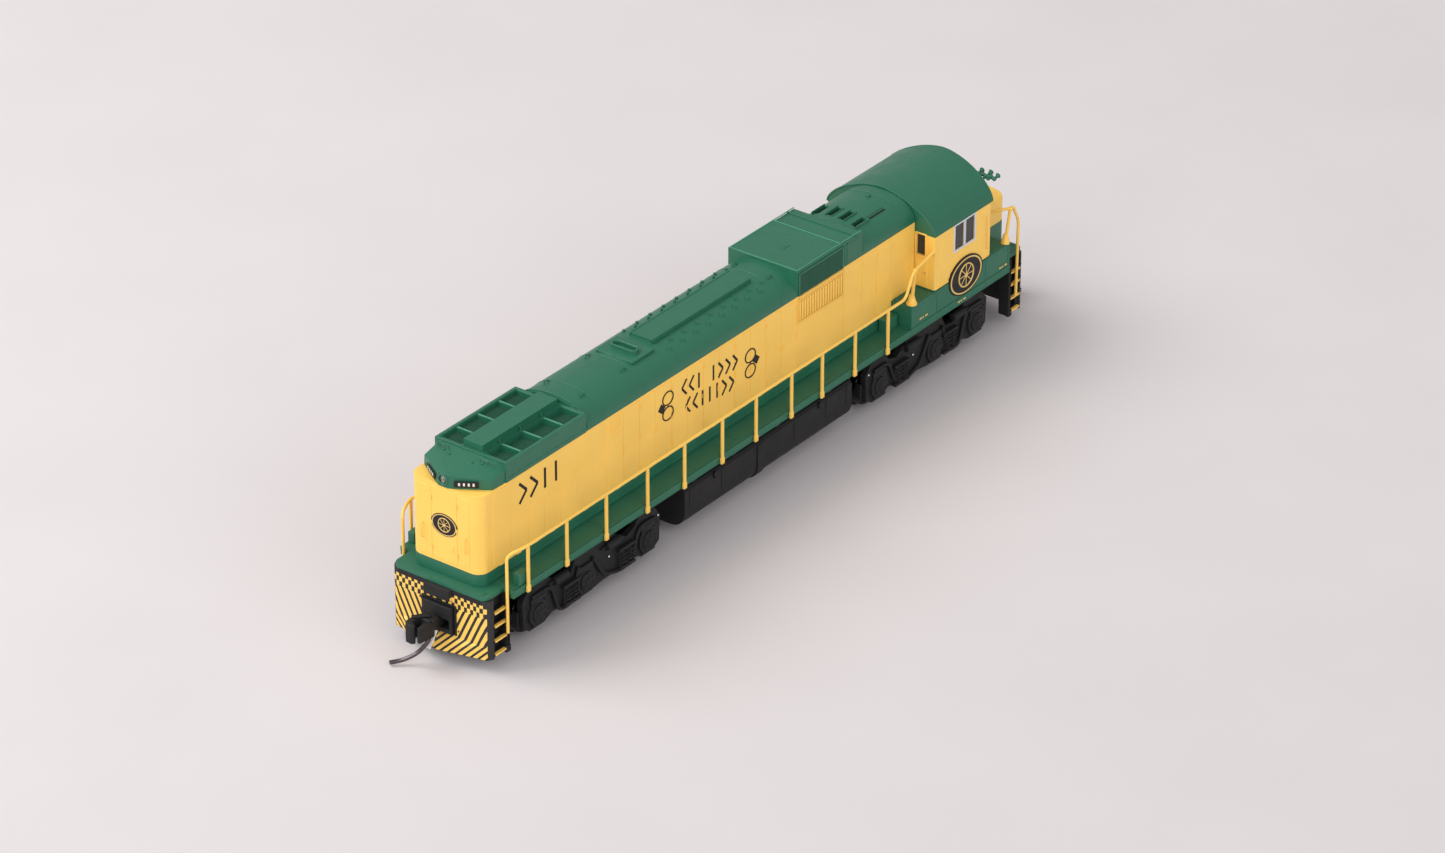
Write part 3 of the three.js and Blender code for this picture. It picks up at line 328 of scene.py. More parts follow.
# ---- mesh helpers, in millimetres
class Build:
    """Collects solids in one mesh, in millimetres, then becomes a riding piece."""

    def __init__(self, *copied):
        """Starts empty, or from a CAD node with its material, rounding and segments."""
        self.bm = bmesh.new()
        self.slots = []
        self.nodes = copied[:1]
        if copied:
            self.cad(*copied)

    def _index(self, material):
        if material not in self.slots:
            self.slots.append(material)
        return self.slots.index(material)

    def absorb(self, other, material, matrix=None):
        """Adds a small bmesh with one material."""
        if matrix is not None:
            other.transform(matrix)
        mesh = bpy.data.meshes.new("part")
        other.to_mesh(mesh)
        other.free()
        start = len(self.bm.faces)
        self.bm.from_mesh(mesh)
        bpy.data.meshes.remove(mesh)
        self.bm.faces.ensure_lookup_table()
        index = self._index(material)
        for face in self.bm.faces[start:]:
            face.material_index = index

    def block(self, x0, x1, y0, y1, z0, z1, material, bevel=0.06, segments=2, turn=None):
        small = bmesh.new()
        bmesh.ops.create_cube(small, size=1.0)
        size = Vector((abs(x1 - x0), abs(y1 - y0), abs(z1 - z0)))
        small.transform(Matrix.Diagonal((*size, 1)))
        if bevel > 0:
            bmesh.ops.bevel(small, geom=small.edges[:], offset=min(bevel, min(size) * 0.45),
                            segments=segments, profile=0.5, affect="EDGES")
        place = Matrix.Translation(((x0 + x1) / 2, (y0 + y1) / 2, (z0 + z1) / 2))
        self.absorb(small, material, place @ turn if turn is not None else place)

    def wall(self, y, x0, x1, z0, z1, proud, material, bevel=0.04, segments=2, deep=0.1):
        """A block that stands proud of a side wall at y and reaches a little way into it."""
        out = math.copysign(1, y)
        self.block(x0, x1, y - out * deep, y + out * proud, z0, z1, material, bevel, segments)

    def rod(self, start, end, radius, material, sides=12, end_radius=None, bevel=0.0):
        start, end = Vector(start), Vector(end)
        small = bmesh.new()
        bmesh.ops.create_cone(small, cap_ends=True, segments=sides, radius1=radius,
                              radius2=radius if end_radius is None else end_radius,
                              depth=(end - start).length)
        for face in small.faces:
            face.smooth = len(face.verts) == 4
        if bevel > 0:
            rims = [e for e in small.edges if any(len(f.verts) > 4 for f in e.link_faces)]
            bmesh.ops.bevel(small, geom=rims, offset=bevel, segments=2, profile=0.5,
                            affect="EDGES")
        turn = (end - start).to_track_quat("Z", "Y").to_matrix().to_4x4()
        self.absorb(small, material, Matrix.Translation((start + end) / 2) @ turn)

    def ball(self, centre, radius, material, squash=(1, 1, 1)):
        small = bmesh.new()
        bmesh.ops.create_uvsphere(small, u_segments=10, v_segments=6, radius=radius)
        for face in small.faces:
            face.smooth = True
        self.absorb(small, material, Matrix.Translation(centre) @ Matrix.Diagonal((*squash, 1)))

    def tube(self, points, radius, material, sides=10, closed=False):
        """A round wire along points, mitred at each bend."""
        points = [Vector(p) for p in points]
        small = bmesh.new()
        rings = []
        count = len(points)
        side = None
        for i, point in enumerate(points):
            before = point - points[i - 1]
            after = points[(i + 1) % count] - point
            if not closed and i == 0:
                before = after
            if not closed and i == count - 1:
                after = before
            into, out = before.normalized(), after.normalized()
            along = (into + out).normalized()
            stretch = 1 / max(0.5, along.dot(out))
            if side is None:
                side = along.orthogonal().normalized()
            side = (side - along * side.dot(along)).normalized()
            other = along.cross(side)
            bend = out - into
            ring = []
            for k in range(sides):
                angle = 2 * math.pi * k / sides
                offset = side * math.cos(angle) + other * math.sin(angle)
                if bend.length > 1e-6:
                    toward = bend.normalized()
                    offset += toward * offset.dot(toward) * (stretch - 1)
                ring.append(small.verts.new(point + offset * radius))
            rings.append(ring)
        spans = count if closed else count - 1
        for i in range(spans):
            a, b = rings[i], rings[(i + 1) % count]
            for k in range(sides):
                face = small.faces.new((a[k], a[(k + 1) % sides], b[(k + 1) % sides], b[k]))
                face.smooth = True
        if not closed:
            small.faces.new(list(reversed(rings[0])))
            small.faces.new(rings[-1])
        bmesh.ops.recalc_face_normals(small, faces=small.faces[:])
        self.absorb(small, material)

    def prism(self, outline, axis, low, high, material, bevel=0.0, segments=2):
        """An outline extruded along an axis: (y, z) for X, (x, z) for Y, (x, y) for Z."""
        small = bmesh.new()
        put = {
            "X": lambda a, b, c: (c, a, b),
            "Y": lambda a, b, c: (a, c, b),
            "Z": lambda a, b, c: (a, b, c),
        }[axis]
        base = [small.verts.new(put(a, b, low)) for a, b in outline]
        top = [small.verts.new(put(a, b, high)) for a, b in outline]
        small.faces.new(base)
        small.faces.new(list(reversed(top)))
        for i in range(len(base)):
            j = (i + 1) % len(base)
            small.faces.new((base[j], base[i], top[i], top[j]))
        bmesh.ops.recalc_face_normals(small, faces=small.faces[:])
        if bevel > 0:
            sharp = [e for e in small.edges if e.calc_face_angle(0) > 0.4]
            bmesh.ops.bevel(small, geom=sharp, offset=bevel, segments=segments, profile=0.5,
                            affect="EDGES", clamp_overlap=True)
        self.absorb(small, material)

    def lathe(self, profile, centre, axis, material, steps=40):
        """A profile of (radius, height) turned about an axis through a centre."""
        small = bmesh.new()
        rings = []
        for radius, height in profile:
            if radius < 1e-6:
                rings.append([small.verts.new((0, 0, height))])
            else:
                rings.append([small.verts.new((radius * math.cos(2 * math.pi * k / steps),
                                               radius * math.sin(2 * math.pi * k / steps),
                                               height)) for k in range(steps)])
        for a, b in zip(rings, rings[1:]):
            for k in range(steps):
                j = (k + 1) % steps
                loop = [a[k % len(a)], a[j % len(a)], b[j % len(b)], b[k % len(b)]]
                corners = list(dict.fromkeys(loop))
                if len(corners) > 2:
                    small.faces.new(corners)
        bmesh.ops.recalc_face_normals(small, faces=small.faces[:])
        turn = Vector(axis).to_track_quat("Z", "Y").to_matrix().to_4x4()
        self.absorb(small, material, Matrix.Translation(centre) @ turn)

    def cad(self, node, material, bevel=0.1, segments=2, angle=30):
        """A copy of a CAD node with its flat faces merged and its edges rounded."""
        small = bmesh.new()
        small.from_mesh(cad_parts[node].data)
        small.transform(Matrix.Scale(1 / MM, 4))
        bmesh.ops.remove_doubles(small, verts=small.verts[:], dist=1e-3)
        bmesh.ops.dissolve_limit(small, angle_limit=math.radians(1.5), verts=small.verts[:],
                                 edges=small.edges[:], delimit=set())
        if bevel > 0:
            mesh = bpy.data.meshes.new("rounding")
            small.to_mesh(mesh)
            small.free()
            carrier = bpy.data.objects.new("rounding", mesh)
            bpy.context.scene.collection.objects.link(carrier)
            modifier = carrier.modifiers.new("edges", "BEVEL")
            modifier.width = bevel
            modifier.segments = segments
            modifier.limit_method = "ANGLE"
            modifier.angle_limit = math.radians(angle)
            modifier.use_clamp_overlap = True
            modifier.harden_normals = False
            graph = bpy.context.evaluated_depsgraph_get()
            rounded = bpy.data.meshes.new_from_object(carrier.evaluated_get(graph))
            bpy.data.objects.remove(carrier)
            small = bmesh.new()
            small.from_mesh(rounded)
        self.absorb(small, material)

    def bolts(self, places, normal, radius, height, material, sides=8):
        for place in places:
            place = Vector(place)
            self.rod(place, place + Vector(normal) * height, radius, material, sides,
                     end_radius=radius * 0.75)

    def piece(self, name, body, slot, *nodes):
        """Makes the piece, which stands for the copied CAD node or for the nodes named."""
        bmesh.ops.triangulate(self.bm, faces=[f for f in self.bm.faces if len(f.verts) > 4])
        self.bm.transform(Matrix.Scale(MM, 4))
        mesh = bpy.data.meshes.new(name)
        self.bm.to_mesh(mesh)
        self.bm.free()
        for key in self.slots:
            mesh.materials.append(MATERIALS[key])
        mesh.polygons.foreach_set("use_smooth", [True] * len(mesh.polygons))
        mesh.set_sharp_from_angle(angle=math.radians(SMOOTH_ANGLE))
        made = bpy.data.objects.new(name, mesh)
        bpy.context.scene.collection.objects.link(made)
        # Large faces keep their own normals next to narrow rounded edges.
        made.modifiers.new("normals", "WEIGHTED_NORMAL").keep_sharp = True
        graph = bpy.context.evaluated_depsgraph_get()
        made.data = bpy.data.meshes.new_from_object(made.evaluated_get(graph))
        made.modifiers.clear()
        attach(made, body)
        nodes = nodes or self.nodes
        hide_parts(*nodes)
        return made


def facing(side):
    """Turns what is drawn for the front end to the front (1) or to the rear (-1)."""
    return Matrix.Rotation(0 if side > 0 else math.pi, 4, "Z")


def oval(count, across, up):
    """Points of an oval, as pairs of distances from its middle."""
    return [(across * math.cos(2 * math.pi * k / count), up * math.sin(2 * math.pi * k / count))
            for k in range(count)]


def hinge(build, x, y, z, material="hood"):
    """A hinge barrel standing on a side wall at y."""
    y += math.copysign(0.09, y)
    build.rod((x, y, z - 0.3), (x, y, z + 0.3), 0.07, material, 8)


def grab_iron(build, foot, out, heights, material):
    """A bent wire handle from a foot (x, y), out from the wall and back, at four heights."""
    grip = (foot[0] + out[0], foot[1] + out[1])
    build.tube([(*place, z) for place, z in zip((foot, grip, grip, foot), heights)], 0.08,
               material, 6)


def both_sides(low, high):
    """The same range of y on the left and on the right."""
    return ((low, high), (-high, -low))


def roof_z(y, half=HOOD_Y, side=25.3, top=28.5):
    """Height of the arched hood roof at a distance from the middle."""
    return side + (top - side) * max(0.0, 1 - (abs(y) / half) ** 2.1) ** (1 / 2.1)


def roof_hoop(build, x, width, height):
    """A raised band that follows the roof from one side to the other."""
    outer = []
    inner = []
    for i in range(25):
        y = HOOD_Y * math.cos(math.pi * i / 24)
        z = roof_z(y)
        out = Vector((y / HOOD_Y * 0.55, 1)).normalized() * height
        outer.append((y + out.x, z + out.y))
        inner.append((y * 0.97, z - 0.2))
    build.prism(outer + inner[::-1], "X", x - width / 2, x + width / 2, "hood", 0.03, 1)


def emblem(build, centre, normal, half_u, half_v, thick):
    """An oval plate with a gold rim and a spoked wheel, standing on a flat face."""
    normal = Vector(normal)
    up = Vector((0, 0, 1))
    across = up.cross(normal)
    turn = Matrix((across, up, normal)).transposed().to_4x4()
    place = Matrix.Translation(centre) @ turn

    local = Build()
    local.prism(oval(40, half_u, half_v), "Z", 0, thick, "black", 0.02, 1)
    outer, inner = (oval(40, half_u * scale, half_v * scale) for scale in (0.93, 0.86))
    for k in range(40):
        j = (k + 1) % 40
        local.prism([outer[k], outer[j], inner[j], inner[k]], "Z", thick - 0.01, thick + 0.03,
                    "gold")
    wheel = min(half_u, half_v) * 0.6
    local.tube([(u, v, thick) for u, v in oval(24, wheel, wheel)], wheel * 0.07, "gold", 6,
               closed=True)
    local.rod((0, 0, thick - 0.02), (0, 0, thick + 0.05), wheel * 0.2, "gold", 16)
    for u, v in oval(8, wheel, wheel):
        local.rod((0, 0, thick), (u, v, thick), wheel * 0.045, "gold", 6)
    merge(build, local, place)


def merge(build, local, place):
    """Moves what one build holds into another, keeping each face's material."""
    local.bm.transform(place)
    mesh = bpy.data.meshes.new("merged")
    local.bm.to_mesh(mesh)
    local.bm.free()
    start = len(build.bm.faces)
    build.bm.from_mesh(mesh)
    bpy.data.meshes.remove(mesh)
    build.bm.faces.ensure_lookup_table()
    table = [build._index(key) for key in local.slots]
    for face in build.bm.faces[start:]:
        face.material_index = table[face.material_index]


# ---- long hood
def side_doors(build, hand):
    """Thin raised doors with hinges and latches along one side of the hood."""
    y = hand * HOOD_Y

    def panel(x0, x1, z0, z1, proud=0.07):
        build.wall(y, x0, x1, z0, z1, proud, "hood")

    panel(-57.2, -53.8, 13.7, 24.6)
    panel(-53.6, -39.8, 19.1, 24.6, 0.05)
    edges = [-53.6, -50.1, -46.7, -43.2, -39.8]
    for a, b in zip(edges, edges[1:]):
        panel(a + 0.08, b - 0.08, 13.7, 18.9)
    panel(-39.6, -33.5, 13.7, 24.6, 0.05)
    doors = [(-33.3 + 3.52 * i, -33.3 + 3.52 * (i + 1)) for i in range(12)]
    for i, (a, b) in enumerate(doors):
        panel(a + 0.07, b - 0.07, 13.7, 24.6)
        hinge_x = a + 0.25 if i % 2 == 0 else b - 0.25
        latch_x = b - 0.35 if i % 2 == 0 else a + 0.35
        for z in (14.8, 19.2, 23.6):
            hinge(build, hinge_x, y, z)
        build.wall(y, latch_x - 0.09, latch_x + 0.09, 18.4, 19.3, 0.16, "hood", 0.03, deep=0)
    panel(9.2, 19.8, 13.7, 20.7)
    for a, b in ((19.95, 24.2), (24.4, 27.7), (27.8, 31.1), (31.3, 35.7)):
        panel(a, b, 13.7, 24.6)
        build.wall(y, b - 0.5, b - 0.3, 18.4, 19.3, 0.16, "hood", 0.03, deep=0)
        for z in (14.8, 23.6):
            hinge(build, a + 0.2, y, z)
    # A small louvred vent near the top, then the tall intake louvres below the roof box.
    for i in range(7):
        z = 21.7 + 0.42 * i
        build.wall(y, -32.7, -30.5, z, z + 0.16, 0.15, "hood", 0.03, 1, deep=0)
    # The panel behind the intake louvres is a darker yellow: painted shade between the slats.
    build.wall(y, 9.15, 19.75, 20.85, 24.4, 0.06, "louvre_backing_shade", 0.03)
    for i in range(17):
        x = 9.45 + 0.6 * i
        build.wall(y, x, x + 0.34, 21.15, 24.1, 0.2, "hood", 0.05, deep=0)
    for z in (20.85, 24.24):
        build.wall(y, 9.15, 19.75, z, z + 0.17, 0.2, "hood", deep=0)
    for x in (9.1, 19.66):
        build.wall(y, x, x + 0.16, 20.85, 24.4, 0.2, "hood", deep=0)
    # Rivets along the top edge of the doors.
    for i in range(60):
        x = -56.5 + 1.56 * i
        if not 8.6 < x < 20:
            build.rod((x, y, 24.82), (x, y + hand * 0.07, 24.82), 0.07, "hood", 6)
    # Base strip with small feet under the doors.
    for i in range(26):
        x = -56.0 + 3.52 * i
        build.wall(y, x, x + 0.9, 13.1, 13.55, 0.12, "hood", 0.04, 1, deep=0.05)
    build.wall(y, HOOD_REAR_X + 2.4, 36.7, 11.55, 12.0, 0.06, "hood", deep=0.2)


def side_marks(build, hand, place, pattern, size, pitch, line, drop=0.0):
    """A row of plain chevrons and bars; drop is the fall of the row for each mm along X."""
    x, z = place
    half_w, half_h = size[0] / 2, size[1] / 2
    low, high = sorted((hand * (HOOD_Y + 0.02), hand * (HOOD_Y + 0.11)))

    def stroke(a, b):
        a, b = Vector(a), Vector(b)
        side = (b - a).normalized().orthogonal() * line / 2
        build.prism([tuple(a - side), tuple(b - side), tuple(b + side), tuple(a + side)], "Y",
                    low, high, "black")

    for i, kind in enumerate(pattern):
        cx = x + (i - (len(pattern) - 1) / 2) * pitch
        cz = z - drop * (cx - x)
        if kind == "|":
            stroke((cx, cz - half_h), (cx, cz + half_h))
        elif kind in "<>":
            tip = half_w if kind == ">" else -half_w
            stroke((cx - tip, cz + half_h), (cx + tip, cz))
            stroke((cx + tip, cz), (cx - tip, cz - half_h))


def side_lettering(build, hand):
    """Plain shapes where a railroad would put its number and slogan."""
    side_marks(build, hand, (-47.6, 22.15), ">>||" if hand < 0 else "||<<", (1.5, 3.0), 2.3, 0.4)
    fall = math.tan(math.radians(5.0))
    side_marks(build, hand, (-10.8, 21.75), "<<| |>>>", (1.0, 2.3), 1.62, 0.34, fall)
    side_marks(build, hand, (-10.8, 18.75), "<<|||>>", (1.0, 2.3), 1.62, 0.34, fall)
    y = hand * (HOOD_Y + 0.1)
    for centre, drop in ((-20.1, 0.8), (-1.7, -0.8)):
        for lift in (-1.15, 1.15):
            rim = [(centre + u, y, 20.3 + drop + lift + v) for u, v in oval(20, 1.15, 1.0)]
            build.tube(rim, 0.1, "black", 6, closed=True)
        x = centre + math.copysign(1.35, drop * -1)
        build.block(x - 0.6, x + 0.6, y - hand * 0.08, y + hand * 0.03, 19.8 + drop,
                    20.9 + drop, "black", 0.1, 2, Matrix.Rotation(math.radians(40), 4, "Y"))


def radiator(build):
    """Fine mesh, ribs and edge flanges of the radiator bays in the roof."""
    for low, high in both_sides(2.2, 5.3):
        hand = math.copysign(1, low)
        # The bay floor and its mesh are a darker green: painted shade in the recess.
        build.prism([(hand * 2.0, 26.6), (hand * 2.0, 26.78), (hand * 5.4, 27.22),
                     (hand * 5.4, 27.0)], "X", -53.9, -38.0, "bay")
        for i in range(11):
            y = low + (high - low) * i / 10
            z = 26.79 + 0.14 * (abs(y) - 2.1)
            build.rod((-53.7, y, z), (-38.1, y, z), 0.05, "bay", 6)
        for i in range(40):
            x = -53.6 + 0.395 * i
            build.rod((x, low, 26.8 if low > 0 else 27.22), (x, high, 27.22 if low > 0 else 26.8),
                      0.035, "bay", 5)
        # The cross flanges are a lighter green: a painted highlight.
        for x in (-54.05, -50.5, -46.2, -41.8, -37.95):
            build.block(x - 0.12, x + 0.12, low, high, 27.6, 27.8, "green_edge", 0.05)
    for low, high in both_sides(5.45, 5.97):
        build.block(-54.4, -37.7, low, high, 27.62, 27.86, "hood", 0.06)
        build.block(-54.4, -37.7, low * 0.99, math.copysign(5.99, low), 24.95, 25.6, "hood", 0.05)
    for x in (-54.25, -37.85):
        build.block(x - 0.2, x + 0.2, -5.9, 5.9, 27.65, 27.9, "hood", 0.06)
    for hand in (-1, 1):
        for i in range(9):
            build.ball((-53.6 + 1.92 * i, hand * 5.97, 25.5), 0.1, "hood")
        for x in (-50.5, -46.2, -41.8):
            build.rod((x, hand * 1.62, 28.4), (x, hand * 1.9, 27.3), 0.12, "hood", 8)
    for i in range(6):
        build.ball((-53.2 + 2.9 * i, 0, 28.8), 0.13, "hood", (1, 1, 0.6))


def rear_cap(build):
    """Number boards, lamp rim and bolts on the sloping cap over the rear door."""
    slope = math.atan2(60.0 - 57.0, 5.6 - 0.8)
    for hand in (-1, 1):
        turn = Matrix.Rotation(-hand * slope, 4, "Z")
        centre = Vector((-58.85, hand * 2.95, 25.78))
        build.block(centre.x - 0.12, centre.x + 0.02, centre.y - 1.6, centre.y + 1.6,
                    centre.z - 0.46, centre.z + 0.46, "black", 0.05, 2, turn)
        for i in range(4):
            along = turn @ Vector((-0.09, -0.95 + 0.63 * i, 0))
            mark = centre + along
            build.block(mark.x - 0.05, mark.x + 0.02, mark.y - 0.13, mark.y + 0.13,
                        mark.z - 0.22, mark.z + 0.22, "white", 0.01, 1, turn)
        for y in (1.9, 3.2, 4.6):
            inward = 4.6 - y
            build.ball((-55.4 - 0.35 * inward, hand * y, 27.72 - 0.06 * inward), 0.16, "hood")
        # A lifting eye on the cap.
        build.tube([(-55.6, hand * y, z) for y, z in ((4.0, 27.6), (4.0, 28.0), (2.6, 28.15),
                                                      (2.6, 27.7))], 0.07, "hood", 6)
    build.tube([(-60.1, u, 26.1 + v) for u, v in oval(28, 0.72, 0.72)], 0.16, "hood", 8,
               closed=True)


def rear_end(build):
    """Door, hinges, rivets and emblem on the flat end of the hood."""
    x = HOOD_REAR_X
    build.block(x - 0.06, x + 0.1, -2.05, 2.05, 13.8, 24.4, "hood", 0.05)
    for low, high in both_sides(2.2, 4.1):
        build.block(x - 0.05, x + 0.1, low, high, 13.8, 24.2, "hood", 0.05)
    for hand in (-1, 1):
        for z in (15.2, 18.9, 22.6):
            build.rod((x - 0.1, hand * 2.12, z - 0.35), (x - 0.1, hand * 2.12, z + 0.35), 0.09,
                      "hood", 8)
        for z in (14.4, 16.0, 21.8, 23.4):
            build.ball((x - 0.04, hand * 3.2, z), 0.11, "hood")
        grab_iron(build, (x, hand * 3.6), (-0.45, 0), (16.2, 16.4, 18.4, 18.6), "hood")
    build.block(x - 0.14, x, -1.5, -1.1, 15.6, 16.5, "hood", 0.03)
    emblem(build, (x - 0.05, 0, 19.2), (-1, 0, 0), 2.2, 1.65, 0.08)


def roof_details(build):
    for hand in (-1, 1):
        for i in range(8):
            x = -17.0 + 2.9 * i
            build.rod((x, hand * 3.8, 27.5), (x, hand * 3.83, 28.08), 0.3, "hood", 12,
                      end_radius=0.22)
            build.rod((x + 1.45, hand * 3.0, 28.0), (x + 1.45, hand * 3.0, 28.46), 0.22, "hood",
                      10, end_radius=0.15)
        build.block(-18.2, 3.8, hand * 1.8 - 0.14, hand * 1.8 + 0.14, 28.2, 28.98, "hood", 0.06)
        for x in (-34.8, -26.0, 6.6):
            build.tube([(x - 0.5, hand * 3.0, 28.0), (x - 0.4, hand * 3.0, 28.42),
                        (x + 0.4, hand * 3.0, 28.42), (x + 0.5, hand * 3.0, 28.0)], 0.09,
                       "hood", 6)
    for x, width, height in ((-37.1, 0.5, 0.16), (-33.9, 0.16, 0.06), (-24.9, 0.12, 0.05),
                             (5.6, 0.16, 0.06), (24.75, 0.3, 0.08), (34.9, 0.2, 0.06)):
        roof_hoop(build, x, width, height)
    # Roof box: lid rim, centre tab, bolts and the cross seams. The lid rim and the cross strips
    # are a lighter green: a painted highlight.
    for y in (-5.75, 5.75):
        build.block(9.2, 24.1, y - 0.07, y + 0.07, 28.9, 29.02, "green_edge", 0.03)
    for x in (9.25, 19.3):
        build.block(x - 0.07, x + 0.07, -5.85, 5.85, 28.9, 29.02, "green_edge", 0.03)
    build.block(19.55, 24.1, -5.6, 5.6, 28.6, 28.7, "hood", 0.04)
    build.block(22.6, 22.85, -5.85, 5.85, 28.6, 28.86, "hood", 0.04)
    build.block(13.1, 14.7, -0.55, 0.55, 28.9, 29.01, "hood", 0.03)
    build.block(13.6, 14.2, -0.2, 0.2, 29.0, 29.05, "hood", 0.02)
    for x, y in ((10.2, -4.9), (10.2, 4.9), (18.4, -4.9), (18.4, 4.9), (11.0, 0.5), (17.6, -2.2)):
        build.rod((x, y, 28.93), (x, y, 29.03), 0.16, "hood", 10, end_radius=0.11)
    for hand in (-1, 1):
        y = hand * HOOD_Y
        # A near-black panel behind the grille bars: painted shade.
        build.wall(y, 9.5, 19.6, 24.75, 28.3, 0.03, "dark", 0.02, 1)
        for x in (9.5, 19.6):
            build.wall(y, x - 0.16, x + 0.16, 24.6, 28.4, 0.16, "hood", deep=0)
        for z in (24.65, 28.35):
            build.wall(y, 9.35, 19.75, z - 0.14, z + 0.14, 0.16, "hood", deep=0)
        for i in range(46):
            x = 9.8 + 0.21 * i
            build.wall(y, x, x + 0.09, 24.7, 28.3, 0.09, "hood", 0.02, 1, deep=0)
        build.wall(y, 20.6, 21.0, 25.1, 28.4, 0.12, "hood", deep=0)
        build.wall(y, 20.1, 23.9, 25.2, 28.3, 0.05, "hood")
    # Roof vents between raised lips. Their near-black floors, and the near-black slot after them,
    # are painted shade.
    for y in (3.4, 1.1, -1.0, -3.1):
        z = roof_z(y)
        build.block(25.85, 28.95, y - 0.62, y - 0.47, z - 0.3, z + 0.14, "hood", 0.04)
        build.block(25.85, 28.95, y + 0.47, y + 0.62, z - 0.3, z + 0.14, "hood", 0.04)
        build.block(26.0, 28.8, y - 0.47, y + 0.47, z - 0.7, z - 0.45, "dark", 0.02, 1)
    build.block(29.3, 32.9, -3.6, -3.25, roof_z(3.4) - 0.1, roof_z(3.4) + 0.02, "dark", 0.03)
    build.block(29.2, 33.0, -3.12, -3.0, roof_z(3.1) - 0.1, roof_z(3.1) + 0.12, "hood", 0.03)
    build.block(33.6, 34.1, -0.25, 0.25, 28.4, 28.75, "hood", 0.05)
    # Exhaust: a rounded lip around a flue, whose near-black floor is painted shade.
    lip = []
    for i in range(28):
        angle = 2 * math.pi * i / 28
        shift = math.copysign(1.35, math.sin(angle + 0.01))
        lip.append((-21.7 + 0.68 * math.cos(angle), 0.68 * math.sin(angle) + shift, 28.95))
    build.tube(lip, 0.14, "hood", 8, closed=True)
    build.block(-22.15, -21.25, -1.75, 1.75, 28.0, 28.1, "dark", 0.02, 1)
    build.block(-24.1, -19.3, -3.1, 3.1, 28.1, 28.5, "hood", 0.08)


def make_hood():
    build = Build("long_hood", "hood", 0.14, 3)
    for hand in (-1, 1):
        side_doors(build, hand)
        side_lettering(build, hand)
    radiator(build)
    rear_cap(build)
    rear_end(build)
    roof_details(build)
    build.piece("long_hood_detailed", "shell", "yellow_plastic")


# ---- cab, nose and horn
def window_frame(build, axis, face, low, high, z0, z1, material, out, width=0.3, proud=0.12):
    """Four strips around an opening on a face at right angles to an axis."""
    low, high = sorted((low, high))
    strips = [(low - width, high + width, z1, z1 + width),
              (low - width, high + width, z0 - width, z0),
              (low - width, low, z0, z1), (high, high + width, z0, z1)]
    near, far = sorted((face - out * 0.1, face + out * proud))
    for a, b, c, d in strips:
        if axis == "Y":
            build.block(a, b, near, far, c, d, material, 0.04)
        else:
            build.block(near, far, a, b, c, d, material, 0.04)


def make_cab():
    build = Build("cab", "cab", 0.12, 3)
    for hand in (-1, 1):
        y = hand * 9.3
        for a, b in ((41.9, 44.1), (44.5, 46.7)):
            window_frame(build, "Y", y, a, b, 19.4, 23.3, "frame_grey", hand, 0.26)
            build.block(a + 0.02, b - 0.02, hand * 9.06, hand * 9.18, 19.42, 23.28,
                        "glass", 0.02, 1)
        build.wall(y, 37.3, 50.4, 15.05, 15.3, 0.07, "yellow")
        build.wall(y, 38.6, 40.9, 15.6, 22.6, 0.05, "yellow")
        build.wall(y, 41.2, 50.3, 15.6, 18.7, 0.05, "yellow")
        grab_iron(build, (49.6, y), (0, hand * 0.4), (16.6, 16.7, 21.6, 21.7), "yellow")
        build.tube([(37.1, y + hand * 0.08, 23.65), (51.0, y + hand * 0.08, 23.65)], 0.09,
                   "green", 8)
        window_frame(build, "X", 37.0, hand * 6.2, hand * 7.7, 20.1, 23.4, "yellow", -1, 0.22,
                     0.14)
        build.block(37.25, 37.35, hand * 6.22, hand * 7.68, 20.15, 23.35, "glass", 0.02, 1)
        build.block(36.9, 37.1, hand * 6.15, hand * 8.1, 15.4, 19.6, "yellow", 0.05)
        build.rod((36.95, hand * 7.8, 17.6), (36.7, hand * 7.8, 17.6), 0.12, "steel", 10)
        window_frame(build, "X", CAB_FRONT_X, hand * 1.0, hand * 5.0, 21.4, 25.4, "dark", 1,
                     0.16, 0.1)
        window_frame(build, "X", CAB_FRONT_X, hand * 6.1, hand * 8.0, 20.0, 23.6, "yellow", 1,
                     0.2, 0.12)
        build.block(50.6, 50.78, hand * 5.9, hand * 8.3, 15.4, 19.4, "yellow", 0.05)
        build.block(50.6, 51.02, hand * 0.9, hand * 3.7, 25.72, 26.62, "black", 0.07)
        for i in range(4):
            y_mark = hand * 1.4 + hand * 0.6 * i
            build.block(51.0, 51.06, y_mark - 0.12, y_mark + 0.12, 25.92, 26.42, "white", 0.01, 1)
        for i in range(10):
            build.ball((38.0 + 1.32 * i, y + hand * 0.02, 15.42), 0.08, "yellow")
        emblem(build, (44.5, hand * 9.26, 14.6), (0, hand, 0), 4.1, 2.95, 0.34)
    # A lip along the rear edge of the roof and a drip strip along the bowed front edge.
    for at_rear in (True, False):
        outer = []
        for i in range(49):
            y = 9.36 * math.cos(math.pi * i / 48)
            z = 23.7 + 4.98 * (1 - (abs(y) / 9.36) ** ARCH_POWER) ** (1 / ARCH_POWER)
            x = 37.03 if at_rear else 51.05 + 1.2 * (1 - (y / 9.6) ** 2)
            outer.append((x, y, z))
        build.tube(outer, 0.13 if at_rear else 0.07, "green", 8)
    build.piece("cab_detailed", "shell", "yellow_plastic")

    Build("cab_glazing", "glass", 0.05, 1).piece("cab_window_glass", "shell", "clear_plastic")


